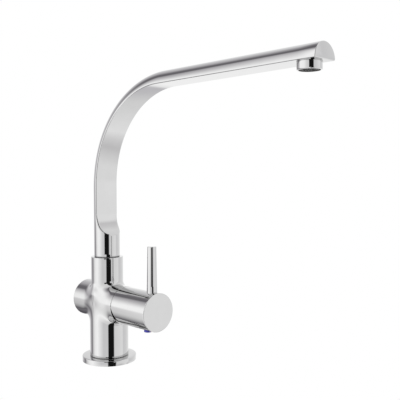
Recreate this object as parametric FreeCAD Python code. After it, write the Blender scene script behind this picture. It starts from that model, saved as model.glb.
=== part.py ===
import FreeCAD, Part
import math
import os

os.makedirs("parts", exist_ok=True)

V = FreeCAD.Vector
UP = V(0, 0, 1)
DOWN = V(0, 0, -1)
FRONT = V(0, -1, 0)
BACK = V(0, 1, 0)
SIDE = V(1, 0, 0)

# Every size is in millimetres and every angle in degrees. The deck is the plane
# z = 0, the column stands on the z axis, and the spout and the lever cap point
# to the front, which is -y.

# Clearances
running_gap = 0.05
location_gap = 0.1
thread_gap = 0.05
tip_gap = 0.2
loose_gap = 0.3

# Valve cartridge of the 35 mm class, lying level in the barrel
cartridge_radius = 17.5
cartridge_wall = 1.7
housing_ledge = 1.2
housing_length = 22.0
housing_front_wall = 1.5
cartridge_neck_radius = 12.0
cartridge_neck_wall = 1.75
cartridge_neck_length = 11.0
seat_behind_axis = 6.0
base_plate_thickness = 6.0
fixed_disc_thickness = 4.0
moving_disc_thickness = 4.5
inlet_port_radius = 2.6
outlet_port_radius = 4.0
outlet_port_drop = 3.0
port_land = 3.2
port_seal_width = 1.5
port_seal_height = 1.3
mixing_pocket_depth = 2.4
mixing_pocket_side = 2.2
mixing_pocket_corner = 2.0
closed_land = 1.2

# Disc carrier, stem carrier and stem
disc_carrier_plate = 3.5
lug_width = 2.4
lug_height = 5.0
lug_depth = 1.3
boss_wall = 3.0
ball_socket_floor = 0.5
ball_floor_gap = 0.5
ball_lip = 2.5
guide_end_gap = 0.6
hub_recess = 1.0
pivot_from_shoulder = 7.0
stem_ball_radius = 3.0
stem_waist_radius = 2.1
stem_shank_radius = 4.2
stem_eye_radius = 4.7
stem_blade = 8.2
stem_pin_radius = 1.5
stem_pin_recess = 0.15
shank_behind_pivot = 8.0
shank_before_pivot = 11.0
stem_before_pivot = 25.0
stem_square = 7.5
stem_thread_runout = 0.5
tilt_angle = 20.0

# Body: column, crossing barrel and neck
barrel_wall = 2.25
column_step = 0.5
barrel_height = 63.4
barrel_back_length = 38.6
shoulder_rise = 3.25
shoulder_length = 16.0
neck_set_back = 3.0
neck_length = 25.9
neck_rim = 3.3
blend_radius = 7.0
rim_chamfer = 0.7
base_wall = 2.5
base_cavity_roof = 22.0
inlet_side = 8.5
inlet_back = 3.0
inlet_thread_radius = 5.0
inlet_thread_depth = 10.0
inlet_bore_radius = 3.0
inlet_bend_back = 6.5
inlet_bend_drop = 14.0
outlet_bend_back = 6.0
socket_floor_wall = 6.0

# Nut and cover ring in front of the cartridge
nut_thickness = 5.5
nut_recess = 0.9
nut_thread_step = 0.95
nut_thread_runout = 0.5
nut_slot_width = 3.0
nut_slot_reach = 2.6
nut_slot_depth = 2.0
cover_gap = 0.8
cover_band = 1.5
cover_lip = 1.0

# Base flange and its seal
flange_overhang = 8.5
flange_thickness = 5.5
flange_edge = 0.8
register_step = 2.25
register_length = 3.9
seal_from_edge = 2.35
seal_width = 3.8
seal_thickness = 2.0

# Deck fixing: one stud, a horseshoe clamp and a nut
stud_radius = 4.0
stud_edge = 0.6
stud_wall_gap = 0.5
stud_grip = 9.0
stud_top_gap = 0.5
stud_below_deck = 62.0
deck_thickness = 30.0
clamp_radius = 24.0
clamp_slot_half = 13.8
clamp_slot_corner = 4.0
clamp_bridge = 2.5
clamp_rubber_thickness = 3.0
clamp_steel_thickness = 2.5
stud_nut_flats = 13.0
stud_nut_height = 6.5
nut_washer_overhang = 0.55
nut_washer_thickness = 1.2

# Swivel spout: a round tube cut to a D section, a level arm and a square end
spout_radius = 13.5
spout_wall = 1.4
spout_end_wall = 2.0
riser_height = 174.2
spout_reach = 278.4
arm_rise = 1.0
outer_bend_radius = 101.5
bend_radius_step = 3.1
scoop_radius = 24.0
scoop_rise = 46.2
bearing_thickness = 0.5
bearing_inset = 0.2

# Spigot that the spout turns on
socket_step = 0.4
spigot_wall = 3.55
spigot_gap = 0.08
spigot_in_tube = 13.0
spigot_floor_gap = 1.0
spigot_shoulder_drop = 0.5
spigot_lead = 0.8
groove_depth = 1.85
groove_half_width = 1.2
o_ring_half = 0.9
o_ring_corner = 0.35
first_o_ring_rise = 4.2
o_ring_spacing = 6.5
retaining_rise = 5.8
retaining_screw_radius = 2.0
retaining_screw_length = 2.5
retaining_tip_radius = 1.4
retaining_key = 2.0
retaining_key_depth = 1.6

# Aerator under the arm
aerator_from_end = 14.7
aerator_radius = 9.95
aerator_drop = 6.8
aerator_edge = 0.9
aerator_thread_radius = 9.0
aerator_thread_length = 5.6
aerator_boss_wall = 1.6
aerator_wall = 1.15
aerator_seal_thickness = 0.6
aerator_seal_inset = 0.15
insert_wall = 1.1
insert_roof = 1.7
insert_hole_radius = 0.8
insert_hole_count = 10
insert_hole_land = 2.2
grid_thickness = 1.0
grid_recess = 0.5
grid_hole_flats = 2.0
grid_bar = 0.6

# Lever cap, its lever and its fixing
cap_step = 0.65
cap_wall = 1.7
cap_seam = 0.4
cap_length = 52.2
cap_end_wall = 2.5
cap_edge = 0.5
cap_end_gap = 3.4
cap_hub_wall = 3.0
cap_hub_land = 6.0
cap_rib_width = 10.0
cap_rib_land = 5.5
relief_margin = 1.5
adapter_radius = 8.0
adapter_from_pivot = 13.0
adapter_web = 4.0
adapter_flat_depth = 0.6
adapter_flat_half = 4.0
adapter_screw_radius = 2.4
adapter_screw_grip = 9.0
adapter_head_radius = 4.5
adapter_head_height = 4.0
adapter_key = 4.0
adapter_key_depth = 2.4
lever_from_end = 9.6
lever_rise = 46.7
lever_base_radius = 5.35
lever_top_radius = 4.55
lever_edge = 0.45
lever_seat_depth = 1.3
lever_thread_radius = 3.0
lever_thread_land = 1.0
grub_from_end = 16.0
grub_radius = 2.5
grub_length = 6.0
grub_key = 2.5
grub_key_depth = 2.6
plug_radius = 4.1
plug_rise = 1.5
plug_lip = 0.6
plug_edge = 0.7
plug_seat_depth = 3.4

# Places along the barrel axis, counted to the front from the column axis
fixed_disc_back = base_plate_thickness - seat_behind_axis
moving_disc_back = fixed_disc_back + fixed_disc_thickness
disc_carrier_back = moving_disc_back + moving_disc_thickness
boss_back = disc_carrier_back + disc_carrier_plate
stem_ball_front = boss_back + ball_socket_floor + ball_floor_gap + stem_ball_radius
boss_front = stem_ball_front + ball_lip
shoulder_front = fixed_disc_back + housing_length
pivot_front = shoulder_front + pivot_from_shoulder
cartridge_front = shoulder_front + cartridge_neck_length
barrel_front = shoulder_front + nut_thickness + nut_recess
cap_back = barrel_front + cap_seam
cap_front = cap_back + cap_length
stem_end = pivot_front + stem_before_pivot
adapter_back = pivot_front + adapter_from_pivot
adapter_web_front = stem_end + adapter_web
adapter_front = cap_front - cap_end_wall - cap_end_gap
lever_front = cap_front - lever_from_end
grub_front = cap_front - grub_from_end
cap_hub_back = grub_front - cap_hub_land

# Radii, heights and travels that follow from the sizes
barrel_radius = cartridge_radius + barrel_wall
column_radius = barrel_radius + column_step
neck_radius = spout_radius + neck_rim
cartridge_bore = cartridge_radius + location_gap
housing_bore = cartridge_radius - cartridge_wall
fixed_disc_radius = housing_bore - housing_ledge - location_gap
nut_radius = cartridge_radius + nut_thread_step
stem_hub_radius = cartridge_neck_radius - cartridge_neck_wall - running_gap
boss_half = stem_ball_radius + boss_wall
inlet_port_place = (fixed_disc_radius - port_land - inlet_port_radius) * math.sqrt(0.5)
tilt_arm = pivot_front - stem_ball_front
disc_travel = tilt_arm * math.sin(math.radians(tilt_angle))
moving_disc_radius = housing_bore - 0.5 * disc_travel - loose_gap
cap_radius = barrel_radius - cap_step
cap_bore = cap_radius - cap_wall
lever_seat_up = cap_radius - lever_seat_depth
register_radius = column_radius - register_step
base_cavity_radius = register_radius - base_wall
flange_radius = column_radius + flange_overhang
seal_outer_radius = flange_radius - seal_from_edge
stud_from_axis = base_cavity_radius - stud_radius - stud_wall_gap
shoulder_top = barrel_height + barrel_radius + shoulder_rise
neck_top = shoulder_top + neck_length
socket_floor = barrel_height + cartridge_bore + socket_floor_wall
socket_radius = spout_radius - spout_wall + socket_step
spigot_radius = socket_radius - spigot_gap
spigot_groove_radius = spigot_radius - groove_depth
spigot_bottom = socket_floor + spigot_floor_gap
retaining_height = spigot_bottom + first_o_ring_rise + o_ring_spacing + retaining_rise
spout_foot = neck_top + bearing_thickness
corner_height = neck_top + riser_height
flat_bend_radius = outer_bend_radius - bend_radius_step
bend_angle = 90.0 - arm_rise
bend_tangent = math.tan(math.radians(bend_angle / 2.0))
arm_axis = V(0, -math.cos(math.radians(arm_rise)), math.sin(math.radians(arm_rise)))
arm_down = V(0, -math.sin(math.radians(arm_rise)), -math.cos(math.radians(arm_rise)))
aerator_top = aerator_seal_thickness - aerator_thread_length
insert_radius = aerator_thread_radius - aerator_wall - thread_gap
insert_bottom = aerator_drop - grid_recess - grid_thickness


def rod(radius, length, start, direction):
    return Part.makeCylinder(radius, length, start, direction)


def level_point(front, up=0.0, side=0.0):
    return V(side, -front, barrel_height + up)


def level_rod(radius, back, front, up=0.0, side=0.0):
    return rod(radius, front - back, level_point(back, up, side), FRONT)


def turned_level(profile):
    # A ring or plug turned about the barrel axis from (front, radius) corners.
    corners = [level_point(front, radius) for front, radius in profile]
    outline = Part.makePolygon(corners + [corners[0]])
    return Part.Face(outline).revolve(level_point(0.0), FRONT, 360)


def turned_upright(profile, back=0.0):
    # A ring or plug turned about an upright axis from (radius, height) corners.
    corners = [V(radius, back, height) for radius, height in profile]
    outline = Part.makePolygon(corners + [corners[0]])
    return Part.Face(outline).revolve(V(0, back, 0), UP, 360)


def level_block(half_width, low, high, back, front):
    corner = V(-half_width, -front, barrel_height + low)
    return Part.makeBox(2 * half_width, front - back, high - low, corner)


def hex_prism(across_flats, length, start, direction):
    corner_radius = across_flats / math.sqrt(3.0)
    corners = []
    for step in range(6):
        angle = math.radians(60 * step)
        corners.append(V(corner_radius * math.cos(angle), corner_radius * math.sin(angle), 0))
    face = Part.Face(Part.makePolygon(corners + [corners[0]]))
    prism = face.extrude(V(0, 0, length))
    prism.Placement = FreeCAD.Placement(start, FreeCAD.Rotation(UP, direction))
    return prism


def edges_where(shape, wanted):
    found = []
    for edge in shape.Edges:
        first, last = edge.ParameterRange
        points = [edge.valueAt(first + (last - first) * part / 6.0) for part in range(7)]
        if all(wanted(point) for point in points):
            found.append(edge)
    return found


def edges_at_height(shape, height):
    return edges_where(shape, lambda point: abs(point.z - height) < 0.01)


def body_shoulder():
    # The column narrows to the neck in an S curve and shifts back with it.
    circles = []
    steps = 10
    for step in range(steps + 1):
        part = step / float(steps)
        ease = part * part * part * (10.0 - 15.0 * part + 6.0 * part * part)
        radius = column_radius + (neck_radius - column_radius) * ease
        height = shoulder_top - shoulder_length * (1.0 - part)
        circle = Part.makeCircle(radius, V(0, neck_set_back * ease, height), UP)
        circles.append(Part.Wire(circle))
    return Part.makeLoft(circles, True, False)


def body_outside():
    column_top = shoulder_top - shoulder_length
    column = rod(column_radius, column_top - flange_thickness, V(0, 0, flange_thickness), UP)
    neck = rod(neck_radius, neck_length, V(0, neck_set_back, shoulder_top), UP)
    barrel = level_rod(barrel_radius, -barrel_back_length, barrel_front)
    outside = column.fuse([body_shoulder(), neck, barrel])

    def on_crossing(point):
        if point.y > barrel_back_length - 0.5 or point.y < 0.5 - barrel_front:
            return False
        from_axis = math.hypot(point.x, point.z - barrel_height)
        return abs(from_axis - barrel_radius) < 0.01

    outside = outside.makeFillet(blend_radius, edges_where(outside, on_crossing))
    rims = edges_where(outside, lambda point: abs(point.y - barrel_back_length) < 0.01)
    rims.extend(edges_at_height(outside, neck_top))
    return outside.makeChamfer(rim_chamfer, rims)


def passage(radius, start, end):
    # A cored water way with a round far end.
    bore = rod(radius, (end - start).Length, start, end - start)
    return bore.fuse(Part.makeSphere(radius, end))


def inlet_passages():
    # Each hose screws in under the roof of the base cavity. Its water way leads
    # behind the cartridge seat, then up, and forward to its port in the base.
    cuts = []
    behind = seat_behind_axis + inlet_bend_back
    for side in (-1, 1):
        foot = V(side * inlet_side, inlet_back, base_cavity_roof)
        thread_top = foot + V(0, 0, inlet_thread_depth)
        bend = V(side * inlet_side, behind, barrel_height - inlet_bend_drop)
        port = level_point(-seat_behind_axis, inlet_port_place, side * inlet_port_place)
        top = V(bend.x, behind, port.z)
        cuts.append(rod(inlet_thread_radius, inlet_thread_depth, foot, UP))
        cuts.append(passage(inlet_bore_radius, thread_top, bend))
        cuts.append(passage(inlet_bore_radius, bend, top))
        cuts.append(passage(inlet_bore_radius, port, top))
    return cuts


def outlet_passage():
    port = level_point(-seat_behind_axis, -outlet_port_drop)
    knee = port + BACK * outlet_bend_back
    level = passage(outlet_port_radius, port, knee)
    rise = rod(outlet_port_radius, socket_floor - knee.z, knee, UP)
    return level.fuse(rise)


def retaining_hole():
    start = V(0, neck_set_back, retaining_height)
    return rod(retaining_screw_radius + thread_gap, neck_radius + neck_rim, start, BACK)


def body_casting():
    cavity_floor = flange_thickness - register_length
    register = rod(register_radius, register_length, V(0, 0, cavity_floor), UP)
    body = body_outside().fuse(register)
    stud_foot = V(0, -stud_from_axis, base_cavity_roof)
    cuts = [
        rod(base_cavity_radius, base_cavity_roof - cavity_floor, V(0, 0, cavity_floor), UP),
        level_rod(cartridge_bore, -seat_behind_axis, barrel_front),
        level_rod(nut_radius + thread_gap, shoulder_front - nut_thread_runout, barrel_front),
        rod(socket_radius, neck_top - socket_floor, V(0, neck_set_back, socket_floor), UP),
        rod(stud_radius + thread_gap, stud_grip, stud_foot, UP),
        outlet_passage(),
        retaining_hole(),
    ]
    return body.cut(cuts + inlet_passages())


def base_flange():
    bore = register_radius + location_gap
    ring = turned_upright([
        (bore, 0),
        (flange_radius, 0),
        (flange_radius, flange_thickness - flange_edge),
        (flange_radius - flange_edge, flange_thickness),
        (bore, flange_thickness),
    ])
    groove = turned_upright([
        (seal_outer_radius - seal_width - location_gap, 0),
        (seal_outer_radius + location_gap, 0),
        (seal_outer_radius + location_gap, seal_thickness),
        (seal_outer_radius - seal_width - location_gap, seal_thickness),
    ])
    return ring.cut(groove)


def flange_seal():
    inner = seal_outer_radius - seal_width
    return turned_upright([
        (inner, 0),
        (seal_outer_radius, 0),
        (seal_outer_radius, seal_thickness),
        (inner, seal_thickness),
    ])


def mounting_stud():
    top = base_cavity_roof + stud_grip - stud_top_gap
    stud = rod(stud_radius, top + stud_below_deck, V(0, -stud_from_axis, -stud_below_deck), UP)
    ends = edges_at_height(stud, top) + edges_at_height(stud, -stud_below_deck)
    return stud.makeChamfer(stud_edge, ends)


def horseshoe(thickness, top):
    # A round plate open to the back, so that it slips past the hoses.
    plate = rod(clamp_radius, thickness, V(0, 0, top - thickness), UP)
    slot_front = stud_from_axis - stud_radius - clamp_bridge
    corner = V(-clamp_slot_half, -slot_front, top - thickness)
    slot = Part.makeBox(2 * clamp_slot_half, 2 * clamp_radius, thickness, corner)

    def on_inner_corner(point):
        at_front = abs(point.y + slot_front) < 0.01
        return at_front and abs(abs(point.x) - clamp_slot_half) < 0.01

    slot = slot.makeFillet(clamp_slot_corner, edges_where(slot, on_inner_corner))
    hole = rod(stud_radius + loose_gap, thickness, V(0, -stud_from_axis, top - thickness), UP)
    return plate.cut([slot, hole])


def clamp_rubber():
    return horseshoe(clamp_rubber_thickness, -deck_thickness)


def clamp_plate():
    return horseshoe(clamp_steel_thickness, -deck_thickness - clamp_rubber_thickness)


def stud_nut():
    top = -deck_thickness - clamp_rubber_thickness - clamp_steel_thickness
    start = V(0, -stud_from_axis, top - stud_nut_height)
    nut = hex_prism(stud_nut_flats, stud_nut_height, start, UP)
    washer_radius = stud_nut_flats / math.sqrt(3.0) + nut_washer_overhang
    washer_start = start + UP * (stud_nut_height - nut_washer_thickness)
    washer = rod(washer_radius, nut_washer_thickness, washer_start, UP)
    hole = rod(stud_radius + thread_gap, stud_nut_height, start, UP)
    return nut.fuse(washer).cut(hole)


def port_rods(gain, back, front):
    # Two inlet ports side by side above the outlet port, each wider by the gain.
    ports = []
    for side in (-1, 1):
        across = side * inlet_port_place
        ports.append(level_rod(inlet_port_radius + gain, back, front, inlet_port_place, across))
    ports.append(level_rod(outlet_port_radius + gain, back, front, -outlet_port_drop))
    return ports


def cartridge_base():
    back = -seat_behind_axis
    plate = level_rod(cartridge_radius, back, fixed_disc_back)
    grooves = port_rods(port_seal_width + location_gap, back, back + port_seal_height)
    return plate.cut(grooves + port_rods(0.0, back, fixed_disc_back))


def base_seals():
    back = -seat_behind_axis
    front = back + port_seal_height
    rings = []
    for outer, hole in zip(port_rods(port_seal_width, back, front), port_rods(0.0, back, front)):
        rings.append(outer.cut(hole))
    return Part.makeCompound(rings)


def fixed_disc():
    disc = level_rod(fixed_disc_radius, fixed_disc_back, moving_disc_back)
    return disc.cut(port_rods(0.0, fixed_disc_back, moving_disc_back))


def disc_rest():
    # The closed disc rests low, so that it ends as far above the axis when open.
    return -0.5 * disc_travel


def moving_disc():
    disc = level_rod(moving_disc_radius, moving_disc_back, disc_carrier_back, disc_rest())
    low = -outlet_port_drop - outlet_port_radius
    high = inlet_port_place - inlet_port_radius - closed_land
    half_width = inlet_port_place + mixing_pocket_side
    pocket_front = moving_disc_back + mixing_pocket_depth
    pocket = level_block(half_width, low, high, moving_disc_back, pocket_front)

    def on_pocket_corner(point):
        up = point.z - barrel_height
        at_side = abs(abs(point.x) - half_width) < 0.01
        return at_side and (abs(up - low) < 0.01 or abs(up - high) < 0.01)

    pocket = pocket.makeFillet(mixing_pocket_corner, edges_where(pocket, on_pocket_corner))
    notches = carrier_lugs(loose_gap, disc_carrier_back - lug_depth - tip_gap)
    return disc.cut([pocket] + notches)


def carrier_lugs(extra, back):
    # Two lugs on the carrier drive the moving disc through notches in its rim.
    lugs = []
    half = 0.5 * lug_height + extra
    for side in (-1, 1):
        inner = moving_disc_radius - lug_width
        low = min(side * (inner - extra), side * (moving_disc_radius + extra))
        corner = V(low, -disc_carrier_back, barrel_height + disc_rest() - half)
        lugs.append(Part.makeBox(lug_width + 2 * extra, disc_carrier_back - back, 2 * half, corner))
    return lugs


def disc_carrier():
    plate = level_rod(moving_disc_radius, disc_carrier_back, boss_back, disc_rest())
    boss = level_block(boss_half, -boss_half, boss_half, boss_back, boss_front)
    lug_back = disc_carrier_back - lug_depth
    round_rim = level_rod(moving_disc_radius, lug_back, boss_back, disc_rest())
    lugs = [lug.common(round_rim) for lug in carrier_lugs(0.0, lug_back)]
    socket = level_rod(stem_ball_radius + tip_gap, boss_back + ball_socket_floor, boss_front)
    return plate.fuse([boss] + lugs).cut(socket)


def stem_carrier():
    # It turns in the housing. Its rails guide the disc carrier, and the stem
    # tilts in its slot on the pin.
    flange_back = boss_back + tip_gap
    flange_front = shoulder_front - housing_front_wall - location_gap
    hub_front = cartridge_front - hub_recess
    flange = level_rod(housing_bore - tip_gap, flange_back, flange_front)
    hub = level_rod(stem_hub_radius, flange_front, hub_front)
    guide_low = -boss_half - guide_end_gap
    guide_high = boss_half + disc_travel + guide_end_gap
    guide = level_block(boss_half + running_gap, guide_low, guide_high, flange_back,
                        boss_front + loose_gap)
    slope = math.tan(math.radians(tilt_angle))
    slot_low = -stem_eye_radius - (hub_front - pivot_front) * slope - loose_gap
    slot_high = stem_eye_radius + shank_behind_pivot * slope
    slot = level_block(0.5 * stem_blade + location_gap, slot_low, slot_high, boss_front, hub_front)
    pin_start = level_point(pivot_front, 0.0, -stem_hub_radius)
    pin_hole = rod(stem_pin_radius + 0.2 * running_gap, 2 * stem_hub_radius, pin_start, SIDE)
    return flange.fuse(hub).cut([guide, slot, pin_hole])


def stem_pin():
    half = stem_hub_radius - stem_pin_recess
    return rod(stem_pin_radius, 2 * half, level_point(pivot_front, 0.0, -half), SIDE)


def cartridge_housing():
    hub_bore = stem_hub_radius + running_gap
    front_wall_back = shoulder_front - housing_front_wall
    disc_bore = housing_bore - housing_ledge
    return turned_level([
        (fixed_disc_back, cartridge_radius),
        (shoulder_front, cartridge_radius),
        (shoulder_front, cartridge_neck_radius),
        (cartridge_front, cartridge_neck_radius),
        (cartridge_front, hub_bore),
        (front_wall_back, hub_bore),
        (front_wall_back, housing_bore),
        (moving_disc_back, housing_bore),
        (moving_disc_back, disc_bore),
        (fixed_disc_back, disc_bore),
    ])


def cartridge_nut():
    front = shoulder_front + nut_thickness
    bore = cartridge_neck_radius + location_gap
    nut = turned_level([
        (shoulder_front, nut_radius),
        (front, nut_radius),
        (front, bore),
        (shoulder_front, bore),
    ])
    slots = []
    for step in range(6):
        slot = level_block(0.5 * nut_slot_width, nut_radius - nut_slot_reach, nut_radius + nut_slot_reach,
                           front - nut_slot_depth, front)
        slot.rotate(level_point(0.0), FRONT, 60 * step)
        slots.append(slot)
    return nut.cut(slots)


def cover_ring():
    # A ring that hides the nut when the cap tilts away, bevelled twice towards the front.
    back = shoulder_front + nut_thickness
    band_front = back + cover_band
    front = cartridge_front - tip_gap
    outer = cap_bore - cover_gap
    inner = cartridge_neck_radius + location_gap
    lip = inner + cover_lip
    diagonal = math.sqrt(0.5)
    return turned_level([
        (back, inner),
        (back, outer),
        (band_front, outer),
        (band_front + (front - band_front) * diagonal, lip + (outer - lip) * diagonal),
        (front, lip),
        (front, inner),
    ])


def stem():
    half = 0.5 * stem_blade
    square_half = 0.5 * stem_square
    ball = Part.makeSphere(stem_ball_radius, level_point(stem_ball_front))
    shank_back = pivot_front - shank_behind_pivot
    shank_front = pivot_front + shank_before_pivot
    waist = level_rod(stem_waist_radius, stem_ball_front, shank_back)
    shank = level_rod(stem_shank_radius, shank_back, shank_front)
    shank = shank.common(level_block(half, -stem_shank_radius, stem_shank_radius, shank_back, shank_front))
    eye = rod(stem_eye_radius, stem_blade, level_point(pivot_front, 0.0, -half), SIDE)
    square = level_block(square_half, -square_half, square_half, shank_front, stem_end)
    blank = ball.fuse([waist, shank, eye, square])
    pin_hole = rod(stem_pin_radius + running_gap, stem_blade, level_point(pivot_front, 0.0, -half), SIDE)
    thread_back = stem_end - adapter_screw_grip - stem_thread_runout
    screw_hole = level_rod(adapter_screw_radius + thread_gap, thread_back, stem_end)
    return blank.cut([pin_hole, screw_hole])


def stem_adapter():
    # It fits the square of the stem, and the cap is clamped on its round outside.
    half = 0.5 * stem_square + running_gap
    blank = level_rod(adapter_radius, adapter_back, adapter_front)
    flat = level_block(adapter_radius, -adapter_radius, -adapter_radius + adapter_flat_depth,
                       grub_front - adapter_flat_half, grub_front + adapter_flat_half)
    return blank.cut([
        level_block(half, -half, half, adapter_back, stem_end),
        level_rod(adapter_screw_radius + tip_gap, stem_end, adapter_web_front),
        level_rod(adapter_head_radius + loose_gap, adapter_web_front, adapter_front),
        flat,
    ])


def adapter_screw():
    head_front = adapter_web_front + adapter_head_height
    head = level_rod(adapter_head_radius, adapter_web_front, head_front)
    shank = level_rod(adapter_screw_radius, stem_end - adapter_screw_grip, adapter_web_front)
    hollow = hex_prism(adapter_key, adapter_key_depth, level_point(head_front), BACK)
    return head.fuse(shank).cut(hollow)


def handle_cap():
    wall_front = cap_front - cap_end_wall
    outside = level_rod(cap_radius, cap_back, cap_front)
    front_rim = edges_where(outside, lambda point: abs(point.y + cap_front) < 0.01)
    outside = outside.makeChamfer(cap_edge, front_rim)
    hollow = level_rod(cap_bore, cap_back, wall_front)
    hub = level_rod(adapter_radius + cap_hub_wall, cap_hub_back, wall_front)
    rib_half = 0.5 * cap_rib_width
    upper_rib = level_block(rib_half, 0.0, cap_bore + 0.5 * cap_wall,
                            max(cap_hub_back, lever_front - cap_rib_land), wall_front)
    lower_rib = level_block(rib_half, -cap_bore - 0.5 * cap_wall, 0.0,
                            max(cap_hub_back, grub_front - cap_rib_land), wall_front)
    cap = outside.cut(hollow).fuse([hub, upper_rib, lower_rib])
    adapter_hole = level_rod(adapter_radius + running_gap, cap_hub_back, adapter_front + loose_gap)
    cap = cap.cut([adapter_hole, relief_wedge(), lever_seat(running_gap), lever_thread(thread_gap)])
    return cap.cut([grub_hole(), plug_hole()])


def relief_wedge():
    # The lower half of the rear rim is cut back, so that the cap clears the body
    # when the lever comes forward.
    slope = math.tan(math.radians(tilt_angle + relief_margin))
    depth = cap_radius + cap_wall
    corners = [
        level_point(cap_back, 0.0, -depth),
        level_point(cap_back - cap_wall, 0.0, -depth),
        level_point(cap_back - cap_wall, -depth, -depth),
        level_point(cap_back + slope * depth, -depth, -depth),
    ]
    face = Part.Face(Part.makePolygon(corners + [corners[0]]))
    return face.extrude(V(2 * depth, 0, 0))


def lever_seat(extra):
    depth = lever_seat_depth + cap_wall
    return rod(lever_base_radius + extra, depth, level_point(lever_front, lever_seat_up), UP)


def lever_thread(extra):
    bottom = adapter_radius + lever_thread_land
    length = lever_seat_up + 0.5 * lever_seat_depth - bottom
    return rod(lever_thread_radius + extra, length, level_point(lever_front, bottom), UP)


def grub_hole():
    foot = level_point(grub_front, -cap_radius)
    return rod(grub_radius + thread_gap, cap_radius - adapter_radius + adapter_flat_depth, foot, UP)


def plug_hole():
    foot = level_point(grub_front, -cap_radius)
    return rod(plug_radius - plug_lip + location_gap, plug_seat_depth, foot, UP)


def lever_pin():
    seat = level_point(lever_front, lever_seat_up)
    height = lever_rise + lever_seat_depth
    taper = Part.makeCone(lever_base_radius, lever_top_radius, height, seat, UP)
    taper = taper.makeChamfer(lever_edge, edges_at_height(taper, seat.z + height))
    bottom = adapter_radius + lever_thread_land + tip_gap
    spigot = rod(lever_thread_radius, lever_seat_up - bottom, level_point(lever_front, bottom), UP)
    return taper.fuse(spigot)


def grub_screw():
    top = adapter_flat_depth - adapter_radius
    screw = rod(grub_radius, grub_length, level_point(grub_front, top), DOWN)
    hollow = hex_prism(grub_key, grub_key_depth, level_point(grub_front, top - grub_length), UP)
    return screw.cut(hollow)


def index_plug():
    foot = level_point(grub_front, -cap_radius)
    shank = rod(plug_radius - plug_lip, plug_seat_depth - tip_gap, foot, UP)
    head = rod(plug_radius, plug_rise + plug_lip, foot + DOWN * plug_rise, UP)
    head = head.makeFillet(plug_edge, edges_at_height(head, foot.z - plug_rise))
    cap_surface = level_rod(cap_radius + 0.5 * running_gap, cap_back, cap_front)
    return head.cut(cap_surface).fuse(shank)


def spout_sweep(radius, arm_cut):
    # The round form that both the outside and the water way of the spout start from.
    bend_start = corner_height - outer_bend_radius * bend_tangent
    riser = rod(radius, bend_start - spout_foot, V(0, neck_set_back, spout_foot), UP)
    circle = Part.makeCircle(radius, V(0, neck_set_back, bend_start), UP)
    centre = V(0, neck_set_back - outer_bend_radius, bend_start)
    bend = Part.Face(Part.Wire(circle)).revolve(centre, SIDE, bend_angle)
    corner = V(0, neck_set_back, corner_height)
    arm_start = corner + arm_axis * (outer_bend_radius * bend_tangent)
    arm_length = spout_reach - outer_bend_radius * bend_tangent - arm_cut
    arm = rod(radius, arm_length, arm_start, arm_axis)
    return riser.fuse([bend, arm]).removeSplitter()


def flat_side_region(offset):
    # Everything on the inner side of the flat: a scoop low on the riser, the
    # straight flat, the inner bend and the underside of the arm.
    scoop_centre = V(0, neck_set_back - scoop_radius, neck_top + scoop_rise)
    scoop = scoop_radius + offset
    bend = flat_bend_radius + offset
    bend_start = V(0, neck_set_back, corner_height - flat_bend_radius * bend_tangent)
    bend_centre = bend_start + V(0, -flat_bend_radius, 0)

    def scoop_point(degrees):
        angle = math.radians(degrees)
        return scoop_centre + V(0, scoop * math.cos(angle), -scoop * math.sin(angle))

    def bend_point(degrees):
        angle = math.radians(degrees)
        return bend_centre + V(0, bend * math.cos(angle), bend * math.sin(angle))

    lip = scoop_point(90.0)
    flat_low = scoop_point(0.0)
    flat_high = bend_point(0.0)
    bend_end = bend_point(bend_angle)
    arm_length = spout_reach - flat_bend_radius * bend_tangent + 2 * spout_radius
    arm_end = bend_end + arm_axis * arm_length
    below = V(0, arm_end.y, lip.z)
    edges = [
        Part.Arc(lip, scoop_point(45.0), flat_low).toShape(),
        Part.makeLine(flat_low, flat_high),
        Part.Arc(flat_high, bend_point(bend_angle / 2.0), bend_end).toShape(),
        Part.makeLine(bend_end, arm_end),
        Part.makeLine(arm_end, below),
        Part.makeLine(below, lip),
    ]
    face = Part.Face(Part.Wire(edges))
    face.translate(V(-2 * spout_radius, 0, 0))
    return face.extrude(V(4 * spout_radius, 0, 0))


def aerator_point(drop):
    corner = V(0, neck_set_back, corner_height)
    return corner + arm_axis * (spout_reach - aerator_from_end) + arm_down * drop


def aerator_rod(radius, top, bottom):
    return rod(radius, bottom - top, aerator_point(top), arm_down)


def spout_tube():
    outside = spout_sweep(spout_radius, 0.0).cut(flat_side_region(0.0))
    water_way = spout_sweep(spout_radius - spout_wall, spout_end_wall)
    water_way = water_way.cut(flat_side_region(spout_wall))
    boss_top = aerator_top - tip_gap
    boss = aerator_rod(aerator_thread_radius + aerator_boss_wall, boss_top, 0.0).common(outside)
    tube = outside.cut(water_way).fuse(boss)
    return tube.cut(aerator_rod(aerator_thread_radius + thread_gap, boss_top, aerator_drop))


def o_ring_heights():
    first = spigot_bottom + first_o_ring_rise
    return [first, first + o_ring_spacing]


def spout_spigot():
    top = spout_foot + spigot_in_tube
    tube_fit = spout_radius - spout_wall - running_gap
    bore = tube_fit - spigot_wall
    shoulder = neck_top - spigot_shoulder_drop
    profile = [(bore, spigot_bottom), (spigot_radius, spigot_bottom)]
    grooves = [(height, groove_half_width) for height in o_ring_heights()]
    grooves.append((retaining_height, retaining_tip_radius + tip_gap))
    for height, half in grooves:
        profile.extend([(spigot_radius, height - half), (spigot_groove_radius, height - half)])
        profile.extend([(spigot_groove_radius, height + half), (spigot_radius, height + half)])
    profile.extend([(spigot_radius, shoulder), (tube_fit, shoulder)])
    profile.extend([(tube_fit, top - spigot_lead), (tube_fit - spigot_lead, top), (bore, top)])
    return turned_upright(profile, neck_set_back)


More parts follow.
